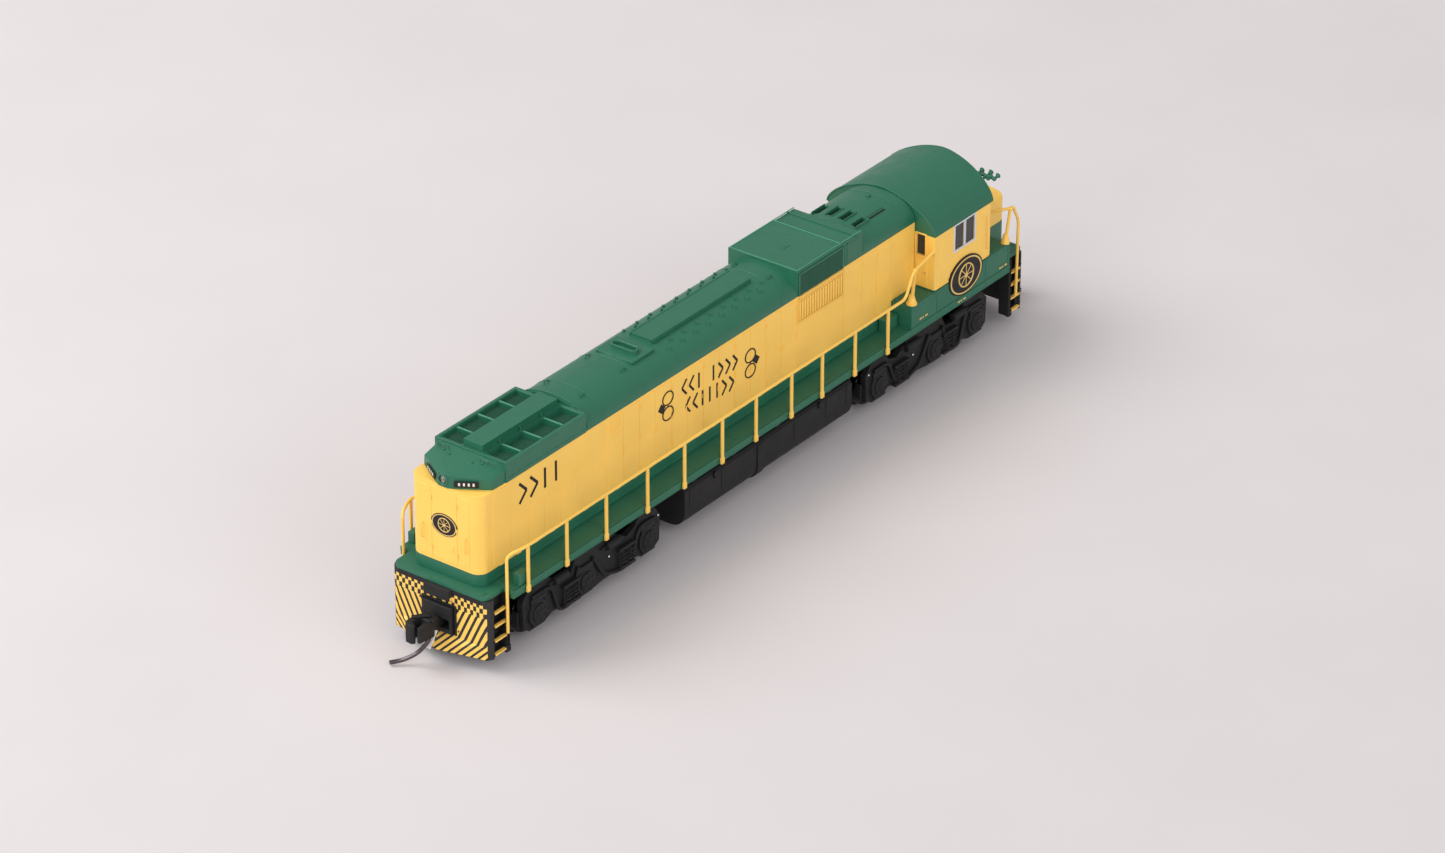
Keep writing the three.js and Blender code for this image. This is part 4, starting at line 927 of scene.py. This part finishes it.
def make_nose():
    build = Build("short_hood", "nose", 0.2, 4)
    x = 60.4
    build.block(x - 0.1, x + 0.06, -1.3, 1.3, 12.2, 15.6, "nose", 0.05)
    build.tube([(x + 0.05, u, 17 + v) for u, v in oval(28, 0.74, 0.74)], 0.15, "nose", 8,
               closed=True)
    for hand in (-1, 1):
        y = hand * 5.4
        build.wall(y, 52.4, 55.6, 12.4, 18.2, 0.06, "nose", 0.05)
        build.wall(y, 55.9, 58.8, 12.4, 18.2, 0.06, "nose", 0.05)
        for z in (13.4, 17.4):
            build.rod((55.75, y + hand * 0.08, z - 0.3), (55.75, y + hand * 0.08, z + 0.3), 0.08,
                      "nose", 8)
        grab_iron(build, (x - 0.1, hand * 3.4), (0.5, 0), (13.0, 13.1, 15.9, 16.0), "nose")
        build.rod((54.0, hand * 3.0, 19.6), (54.0, hand * 3.0, 20.0), 0.45, "nose", 16, bevel=0.05)
    build.piece("short_hood_detailed", "shell", "yellow_plastic")


def make_horn():
    build = Build()
    x, z = 53.0, 26.0
    build.tube([(51.8, -6.9, 25.9), (52.4, -6.9, 25.92), (x, -6.9, z)], 0.2, "green", 10)
    build.rod((x, -5.3, z), (x, -8.5, z), 0.26, "green", 12, bevel=0.04)
    for i, length in enumerate((0.95, -0.85, 1.15, -0.7, 0.85)):
        y = -5.5 - 0.7 * i
        build.rod((x, y, z), (x + length * 0.6, y, z + 0.09), 0.12, "green", 12)
        build.rod((x + length * 0.4, y, z + 0.08), (x + length * 0.97, y, z + 0.15), 0.17, "green",
                  14, end_radius=0.38)
        build.ball((x - math.copysign(0.16, length), y, z), 0.32, "green")
        build.rod((x + length * 0.9, y, z + 0.14), (x + length, y, z + 0.15), 0.39, "green", 14)
    build.piece("horn_cluster", "shell", "green_plastic", "horn")


def make_headlights():
    for name, side, z in (("headlight_front", 1, 17.0), ("headlight_rear", -1, 26.1)):
        build = Build(name, "lens", 0.05, 2)
        tip = 60.4 if side > 0 else -60.05
        for low in (0.3, -0.3):
            build.ball((tip, 0, z + low), 0.26, "lens", (0.4, 1, 1))
        build.piece(name + "_lens", "shell", "lens_plastic")


# ---- walkway, pilots and rails
def tread_plate():
    """Green paint over a raised anti-slip grid."""
    shader = Shader("tread_plate")
    pitch = 0.42 * MM
    rows = [shader.math("SINE", shader.math("MULTIPLY", value, 2 * math.pi / pitch))
            for value in (shader.math("ADD", shader.x, shader.y),
                          shader.math("SUBTRACT", shader.x, shader.y))]
    weathered(shader, GREEN, rough=(0.5, 0.66))
    shader.bump(shader.math("MULTIPLY", rows[0], rows[1]), 0.5, 0.05)
    return shader.material


def make_walkway():
    MATERIALS["tread"] = tread_plate()
    build = Build("walkway", "green", 0.09, 2)
    for low, high in both_sides(6.1, 9.35):
        for i in range(9):
            x = -57.4 + 9.8 * i
            build.block(x, x + 9.65, low, high, 11.45, 11.56, "tread", 0.03, 1)
        for a, b in ((31.7, 36.8), (51.6, 55.2)):
            build.block(a, b, low, high, 14.9, 15.01, "tread", 0.03, 1)
    for x0, x1 in ((-61.3, -60.2), (60.6, 61.3)):
        build.block(x0, x1, -7.0, 7.0, 11.45, 11.56, "tread", 0.03, 1)
    for hand in (-1, 1):
        y = hand * SILL_Y
        build.block(-56.3, -54.4, hand * 8.3, hand * 9.4, 11.5, 13.2, "green", 0.1, 3)
        build.block(28.2, 31.0, hand * 6.1, hand * 7.4, 11.5, 13.4, "green", 0.08)
        build.wall(y, -57.6, 55.4, 11.22, 11.5, 0.08, "green", 0.05)
        build.wall(y, -57.6, 55.4, 10.33, 10.5, 0.05, "green")
        for x in (31.45, 37.6, 43.6, 49.6, 55.2):
            build.wall(y, x - 0.1, x + 0.1, 10.4, 14.8, 0.03, "green", 0.03, deep=0.15)
        for i in range(24):
            build.ball((32.0 + i, y - hand * 0.03, 14.55), 0.07, "green")
        for x, z in ((34.2, 12.3), (43.6, 10.9), (53.8, 12.0)):
            for k, width in enumerate((0.5, 0.3, 0.6)):
                start = x - 0.9 + 0.65 * k
                build.wall(y, start, start + width, z - 0.12, z + 0.12, 0.06, "gold", 0.01, 1,
                           deep=0)
    build.piece("walkway_detailed", "shell", "green_plastic")


def make_pilot(end, side):
    build = Build(f"pilot_{end}", "pilot", 0.09, 2)
    local = Build()
    # Black lip and centre step, treads with yellow edges, and the frame of the coupler pocket.
    local.block(61.3, 61.5, -6.8, 6.8, 10.25, 10.86, "black", 0.05)
    local.block(61.3, 62.05, -2.15, 2.15, 9.25, 10.86, "black", 0.1, 3)
    for hand in (-1, 1):
        for z in (8.85, 6.85, 4.65, 2.6):
            local.block(57.6, 60.3, hand * 6.9, hand * 8.25, z - 0.32, z + 0.02, "black", 0.04)
            local.block(57.8, 60.1, hand * 7.9, hand * 8.4, z - 0.22, z + 0.05, "gold_edge", 0.04)
        local.block(57.2, 57.8, hand * 6.7, hand * 8.4, 1.95, 10.8, "black", 0.06)
        local.block(57.1, 58.0, hand * 7.9, hand * 8.5, 1.9, 2.9, "black", 0.1)
        for z in (3.0, 5.2, 7.2, 9.2):
            local.ball((60.4, hand * 8.2, z), 0.11, "black")
        for z in (4.9, 8.0):
            local.ball((61.42, hand * 3.2, z), 0.13, "black")
        local.block(61.3, 61.55, hand * 2.6, hand * 2.9, 4.1, 8.4, "black", 0.04)
    local.block(61.3, 61.55, -2.9, 2.9, 8.35, 8.6, "black", 0.04)
    merge(build, local, facing(side))
    build.piece(f"pilot_{end}_detailed", "shell", "black_plastic")


def rounded_path(points, radius=0.9, steps=5):
    """Replaces each corner of a path with a short arc."""
    points = [Vector(p) for p in points]
    path = [points[0]]
    for before, corner, after in zip(points, points[1:], points[2:]):
        into = before - corner
        out = after - corner
        reach = min(radius, into.length * 0.45, out.length * 0.45)
        a = corner + into.normalized() * reach
        b = corner + out.normalized() * reach
        for i in range(steps + 1):
            t = i / steps
            path.append(a * (1 - t) ** 2 + corner * 2 * t * (1 - t) + b * t * t)
    path.append(points[-1])
    return path


def catmull(points, steps=6):
    """A smooth curve through points."""
    points = [Vector(p) for p in points]
    points = [2 * points[0] - points[1]] + points + [2 * points[-1] - points[-2]]
    path = []
    for a, b, c, d in zip(points, points[1:], points[2:], points[3:]):
        for i in range(steps):
            t = i / steps
            path.append(0.5 * (2 * b + (c - a) * t + (2 * a - 5 * b + 4 * c - d) * t ** 2
                               + (3 * b - a - 3 * c + d) * t ** 3))
    path.append(points[-2])
    return path


def make_handrails():
    for name, hand in SIDES:
        build = Build()
        y = hand * RAIL_Y
        build.tube(rounded_path([
            (-58.03, hand * 8.72, 5.1), (-58.03, hand * 8.72, 16.4), (-57.4, hand * 9.1, 17.0),
            (-55.4, y, RAIL_Z), (29.3, y, RAIL_Z), (31.1, y, 20.8),
            (36.85, hand * 9.2, 21.3)]),
            0.22, "yellow", 12)
        for x in STANCHIONS:
            build.block(x - 0.25, x + 0.25, y - 0.15, y + 0.15, 10.35, 17.2, "yellow", 0.07)
            build.block(x - 0.34, x + 0.34, y - 0.2, y + 0.18, 10.33, 11.3, "yellow", 0.08)
            build.ball((x, y, RAIL_Z), 0.3, "yellow", (1.15, 0.8, 0.85))
        build.tube([(32.2, hand * 8.9, 15.0), (31.5, y, 20.85)], 0.24, "yellow", 10)
        build.rod((32.2, hand * 8.9, 14.99), (32.15, hand * 8.92, 16.5), 0.72, "yellow", 16,
                  end_radius=0.34)
        build.rod((32.2, hand * 8.9, 14.98), (32.2, hand * 8.9, 15.2), 0.78, "yellow", 16)
        build.ball((31.5, y, 20.85), 0.34, "yellow")
        build.rod((36.7, hand * 9.2, 21.28), (36.98, hand * 9.2, 21.3), 0.38, "yellow", 12)
        build.piece(f"handrail_{name}_wire", "shell", "yellow_plastic", f"handrail_{name}")

        front = Build()
        front_y = hand * 9.3
        front.tube(rounded_path([
            (53.6, hand * 6.3, 19.6), (55.6, front_y, 20.5), (56.4, front_y, 20.4),
            (58.0, hand * 9.2, 17.6), (58.5, hand * 8.72, 5.0)]), 0.22, "yellow", 12)
        front.tube([(55.2, hand * 8.9, 15.0), (55.7, front_y, 20.4)], 0.24, "yellow", 10)
        front.rod((55.2, hand * 8.9, 14.98), (55.25, hand * 8.92, 16.4), 0.66, "yellow", 16,
                  end_radius=0.33)
        front.ball((55.7, front_y, 20.4), 0.33, "yellow")
        front.piece(f"handrail_front_{name}_wire", "shell", "yellow_plastic",
                    f"handrail_front_{name}")


# ---- couplers
def make_couplers():
    for end, side in ENDS:
        turn = facing(side)
        box = Build(f"coupler_box_{end}", "black", 0.1, 3)
        local = Build()
        local.rod((58.2, 0, 4.27), (58.2, 0, 3.95), 0.75, "steel", 20, bevel=0.06)
        # A near-black slot across the screw head: painted shade.
        local.block(57.6, 58.8, -0.1, 0.1, 3.9, 4.0, "dark", 0.02, 1)
        local.block(61.7, 61.98, -2.3, 2.3, 7.0, 8.1, "black", 0.06)
        merge(box, local, turn)
        box.piece(f"coupler_box_{end}_detailed", "shell", "black_plastic")

        head = Build(f"coupler_{end}", "black", 0.12, 3)
        local = Build()
        local.rod((64.6, -1.45, 3.95), (64.6, -1.45, 7.1), 0.2, "blackened", 14)
        local.prism([(62.9, -0.6), (64.9, -1.9), (65.1, -1.3), (64.0, -0.4), (63.4, 0.3)], "Z",
                    6.98, 7.2, "black", 0.05)
        local.block(62.6, 63.9, 0.2, 0.95, 6.45, 6.85, "black", 0.1)
        local.block(62.55, 64.3, -1.3, 0.7, 4.45, 6.9, "black", 0.2, 3)
        # The spring clip beside the head. Its near-white colour is a painted glint.
        local.prism([(0.29, 5.2), (1.41, 5.4), (0.1, 2.1), (-1.24, 2.2)], "X", 63.48, 63.62,
                    "clip", 0.04)
        merge(head, local, turn)
        head.piece(f"coupler_{end}_head", f"coupler_{end}", "black_plastic")

        jaw = Build(f"knuckle_{end}", "black", 0.22, 4)
        jaw.piece(f"knuckle_{end}_jaw", f"knuckle_{end}", "black_plastic")

        pin = Build()
        local = Build()
        path = catmull([(63.9, 0.25, 5.4), (63.9, 0.25, 4.0), (64.35, -0.2, 2.9),
                        (65.1, -1.1, 1.7), (66.2, -2.4, 0.85), (67.4, -3.7, 0.5)])
        local.tube(path, 0.3, "trip_steel", 16)
        merge(pin, local, turn)
        pin.piece(f"trip_pin_{end}_wire", f"coupler_{end}", "blackened_metal", f"trip_pin_{end}")


# ---- trucks
def coil(build, x, y, z0, z1, radius, wire, material):
    """A small coil spring standing on end."""
    turns = 4
    points = []
    for i in range(turns * 12 + 1):
        angle = 2 * math.pi * i / 12
        points.append((x + radius * math.cos(angle), y + radius * math.sin(angle),
                       z0 + (z1 - z0) * i / (turns * 12)))
    build.tube(points, wire, material, 6)


def ease_tips(mesh, reach):
    """Pulls the tooth tips of a gear on a Y axis in to a radius, clear of the webs beside it."""
    corners = [vert.co for vert in mesh.verts]
    x, z = ((min(c[i] for c in corners) + max(c[i] for c in corners)) / 2 for i in (0, 2))
    for vert in mesh.verts:
        far = math.hypot(vert.co.x - x, vert.co.z - z)
        if far > reach:
            vert.co.x = x + (vert.co.x - x) * reach / far
            vert.co.z = z + (vert.co.z - z) * reach / far


def make_trucks():
    for end, side in ENDS:
        body = f"truck_{end}"
        turn = (facing(side) @ Matrix.Translation((TRUCK_X, 0, 0)))
        for name, hand in SIDES:
            build = Build(f"sideframe_{end}_{name}", "black", 0.16, 3)
            local = Build()
            out = hand * side
            face = out * 7.3

            def plate(x0, x1, z0, z1, depth, bevel=0.08):
                low, high = sorted((face - out * 0.2, face + out * depth))
                local.block(x0, x1, low, high, z0, z1, "black", bevel, 3)

            for axle in AXLES:
                z = AXLE_Z + 0.35
                plate(axle - 1.5, axle + 1.5, 5.3, 6.5, 0.4, 0.15)
                for radius, depth, bevel in ((1.95, 0.42, 0.16), (1.4, 0.68, 0.14),
                                             (0.6, 0.8, 0.1)):
                    local.rod((axle, face - out * 0.3, z), (axle, face + out * depth, z), radius,
                              "black", 32, bevel=bevel)
                for k in range(6):
                    angle = math.pi * (k + 0.5) / 3
                    bolt = Vector((axle + 1.05 * math.cos(angle), face + out * 0.66,
                                   z + 1.05 * math.sin(angle)))
                    local.rod(bolt, bolt + Vector((0, out * 0.1, 0)), 0.13, "black", 6)
            for x in (-6.8, 5.1):
                for dx in (-0.75, 0.75):
                    coil(local, x + dx, face + out * 0.42, 2.75, 5.2, 0.5, 0.12, "black")
                plate(x - 1.7, x + 1.7, 2.3, 2.75, 0.75)
                plate(x - 1.7, x + 1.7, 5.2, 5.65, 0.75)
            # Equaliser beams, brake cylinders, rigging and bolts.
            for beam in (((-13.2, 0.25, 6.8), (-9.8, 0.3, 6.9), (-8.2, 0.32, 3.1),
                          (-5.4, 0.32, 2.2), (-2.0, 0.3, 3.2), (0.2, 0.3, 6.9)),
                         ((3.3, 0.3, 6.9), (4.6, 0.3, 2.2), (7.6, 0.3, 2.2), (9.2, 0.3, 6.9),
                          (13.2, 0.25, 6.8))):
                path = [(x, face + out * proud, z) for x, proud, z in beam]
                local.tube(rounded_path(path, 1.2, 4), 0.26, "black", 8)
            for x0, x1 in ((-5.6, -2.6), (5.8, 8.6)):
                y = face + out * 0.28
                local.rod((x0, y, 7.2), (x1, y, 7.2), 0.62, "black", 20, bevel=0.1)
                local.rod((x1, y, 7.2), (x1 + 1.0, y, 7.2), 0.16, "black", 10)
            for x in (-14.0, -8.6, -1.2, 3.0, 9.4, 14.0):
                for z in (3.4, 5.6):
                    local.ball((x, face + out * 0.02, z), 0.14, "black")
            for x, z in ((-3.5, 5.2), (12.9, 6.6), (-14.2, 6.6)):
                local.ball((x, face + out * 0.1, z), 0.2, "steel", (1, 0.6, 1))
            for x in (-14.9, 14.6):
                local.block(x - 0.1, x + 0.4, out * 5.6, out * 6.6, 2.6, 5.0, "black", 0.12)
            merge(build, local, turn)
            build.piece(f"sideframe_{end}_{name}_detailed", body, "black_plastic")
            strip = Build(f"pickup_{end}_{name}", "bronze", 0.04, 2)
            strip.piece(f"pickup_{end}_{name}_strip", body, "bronze")
        box = Build(f"gearbox_{end}", "black", 0.05, 2)
        box.piece(f"gearbox_{end}_housing", body, "black_plastic")
        for gear in ("worm_gear_" + end, f"idler_gear_{end}_outer", f"idler_gear_{end}_inner"):
            wheel = Build(gear, "nylon", 0.05, 2)
            ease_tips(wheel.bm, GEAR_REACH)
            wheel.piece(gear + "_moulded", gear, "nylon")
        for place, offset in zip(("outer", "middle", "inner"), AXLES):
            node = f"wheelset_{end}_{place}"
            build = Build()
            x = side * (TRUCK_X + offset)
            for hand in (-1, 1):
                tread = [(3.175, 5.5), (3.19, 4.4), (3.35, 4.25), (3.6, 4.12), (3.69, 4.02),
                         (3.7, 3.92), (3.64, 3.82), (2.85, 3.8), (2.75, 3.95), (1.2, 3.95),
                         (1.1, 3.8), (0.85, 3.8)]
                rim = [(3.175, 5.5), (3.1, 5.56), (2.75, 5.56), (2.65, 5.36), (1.35, 5.3),
                       (1.15, 5.5), (0.5, 5.55), (0.45, 5.9), (0.0, 6.15)]
                for profile in (tread, rim):
                    build.lathe([(r, h * hand) for r, h in profile], (x, 0, AXLE_Z), (0, 1, 0),
                                "blackened", 48)
                # Near-black discs on the wheel face stand for holes: painted shade.
                for u, v in oval(6, 2.0, 2.0):
                    build.rod((x + u, hand * 5.28, AXLE_Z + v), (x + u, hand * 5.36, AXLE_Z + v),
                              0.32, "dark", 14)
            build.rod((x, -3.95, AXLE_Z), (x, 3.95, AXLE_Z), 0.85, "blackened", 24)
            if place != "middle":
                build.rod((x, -1.1, AXLE_Z), (x, 1.1, AXLE_Z), 1.5, "nylon", 24, bevel=0.08)
                for k in range(12):
                    angle = 2 * math.pi * k / 12
                    c, s = math.cos(angle), math.sin(angle)
                    tooth = Matrix.Rotation(-angle, 4, "Y")
                    build.block(x + 2.05 * c - 0.7, x + 2.05 * c + 0.7, -0.85, 0.85,
                                AXLE_Z + 2.05 * s - 0.22, AXLE_Z + 2.05 * s + 0.22, "nylon", 0.08,
                                2, tooth)
            build.piece(node + "_turned", node, "blackened_metal", node)


# ---- tank, frame and drive line
def make_tank():
    build = Build("fuel_tank", "black", 0.14, 3)
    for hand in (-1, 1):
        for x in (-17.6, -10.4, 6.2, 13.6, 18.4):
            build.block(x - 0.14, x + 0.14, hand * 7.72, hand * 7.88, 4.6, 7.5, "black", 0.05)
        build.tube(rounded_path([(-18.6, hand * 7.2, 8.6), (-4.0, hand * 7.2, 8.6),
                                 (-2.6, hand * 7.2, 8.9), (19.2, hand * 7.2, 8.9)]), 0.24, "black",
                   10)
        for x in (-12.0, 12.0):
            build.rod((x, hand * 7.5, 7.3), (x, hand * 8.15, 7.55), 0.5, "black", 20, bevel=0.08)
        for x in (-16.0, -7.0, 3.0, 15.0):
            build.block(x - 0.5, x + 0.5, hand * 6.5, hand * 7.35, 7.9, 9.7, "black", 0.08)
    for x in (-18.9, 19.55):
        for hand in (-1, 1):
            for z in (3.6, 6.6):
                build.ball((x, hand * 5.6, z), 0.16, "black")
    build.piece("fuel_tank_detailed", "chassis", "black_plastic")


def make_mechanism():
    plain = (
        ("frame", ("left", "right"), "chassis", "diecast", "diecast", 0.18),
        ("bearing_block", ("front", "rear"), "chassis", "brass", "brass", 0.08),
        ("frame_screw", ("front", "rear"), "chassis", "steel", "screw_steel", 0.1),
        ("led", ("front", "rear"), "chassis", "lens", "lens_plastic", 0.12),
        ("flywheel", ("front", "rear"), "drive_shaft", "brass", "brass", 0.16),
        ("worm", ("front", "rear"), "drive_shaft", "black", "black_plastic", 0.04),
        ("motor", ("shaft",), "drive_shaft", "steel", "motor_steel", 0.1),
    )
    rows = [(f"{stem}_{place}", *look) for stem, places, *look in plain for place in places]
    for node, body, material, slot, bevel in rows:
        build = Build(node, material, bevel, 3)
        if node.startswith("flywheel"):
            sign = 1 if node.endswith("front") else -1
            # Near-black discs on the flywheel face stand for holes: painted shade.
            for u, v in oval(5, 2.2, 2.2):
                build.rod((sign * 18.55, u, SHAFT_Z + v), (sign * 18.63, u, SHAFT_Z + v), 0.42,
                          "dark", 14)
        if node.startswith("frame_screw"):
            x = 24.5 if node.endswith("front") else -24.5
            # A near-black slot across the screw head: painted shade.
            build.block(x - 1.15, x + 1.15, 4.8, 4.88, 20.65, 20.95, "dark", 0.02, 1)
        build.piece(node + "_finished", body, slot)

    motor = Build("motor", "steel", 0.25, 4)
    z = SHAFT_Z
    for hand in (-1, 1):
        motor.block(-8.9, -7.5, hand * 2.0 - 0.5, hand * 2.0 + 0.5, z + 3.3, z + 3.75, "bronze",
                    0.1)
        motor.rod((-8.2, hand * 2.0, z + 3.7), (-8.2, hand * 2.0, z + 4.05), 0.28, "steel", 12)
        motor.block(-5.5, 6.5, hand * 3.45, hand * 3.56, z - 1.6, z + 1.6, "blackened", 0.04)
    motor.piece("motor_can", "chassis", "motor_steel")

    board = Build("light_board", "circuit", 0.05, 1)
    for hand in (-1, 1):
        for i in range(3):
            y = hand * (0.9 + 0.75 * i)
            board.block(-50.5, 32.5, y - 0.09, y + 0.09, 24.48, 24.54, "bronze", 0.01, 1)
        for x in (-45, -30, -18, 14, 24, 31):
            board.block(x - 0.7, x + 0.7, hand * 2.8 - 0.35, hand * 2.8 + 0.35, 24.45, 24.8,
                        "dark", 0.06)
            for end in (-0.8, 0.8):
                board.ball((x + end, hand * 2.8, 24.55), 0.22, "steel", (1, 1, 0.6))
    board.piece("light_board_assembled", "chassis", "circuit_board")


make_camera()
floor_mesh = bpy.data.meshes.new("floor")
floor_mesh.from_pydata([(x * FLOOR_HALF, y * FLOOR_HALF, 0)
                        for x, y in ((-1, -1), (1, -1), (1, 1), (-1, 1))], [], [(0, 1, 2, 3)])
floor = bpy.data.objects.new("floor", floor_mesh)
bpy.context.scene.collection.objects.link(floor)
card = Shader("floor_card", roughness=0.75, specular=0.2)
paper = card.mix(card.ramp(card.noise(30, 2), 0.3, 0.7), (0.645, 0.61, 0.625),
                 (0.665, 0.63, 0.645))
# Painted shade: the card is a little darker towards the viewer.
nearness = card.math("ADD", card.math("MULTIPLY", card.x, 0.3),
                     card.math("MULTIPLY", card.y, 0.36))
shade = card.ramp(nearness, -0.11, 0.03, 0.0, 1.0)
card.colour(card.mix(shade, card.mix(0.13, paper, (0, 0, 0)), paper))
floor_mesh.materials.append(card.material)

world = bpy.data.worlds.new("studio")
world.use_nodes = True
world.node_tree.nodes["Background"].inputs[0].default_value = (1.0, 0.985, 0.985, 1)
world.node_tree.nodes["Background"].inputs[1].default_value = 0.5
bpy.context.scene.world = world
bpy.context.scene.view_settings.view_transform = "Standard"
area_light("key", (-0.33, 0.48, 0.66), (0, 0, 0.01), 0.6, 5.4, (1.0, 0.98, 0.95))
area_light("end_fill", (-0.95, -0.1, 0.5), (0, 0, 0.01), 0.8, 4.5)
area_light("side_fill", (-0.25, -0.95, 0.45), (0, 0, 0.01), 0.9, 4.6)

make_hood()
make_cab()
make_nose()
make_horn()
make_headlights()
make_walkway()
make_pilot("front", 1)
make_pilot("rear", -1)
make_handrails()
make_couplers()
make_trucks()
make_tank()
make_mechanism()
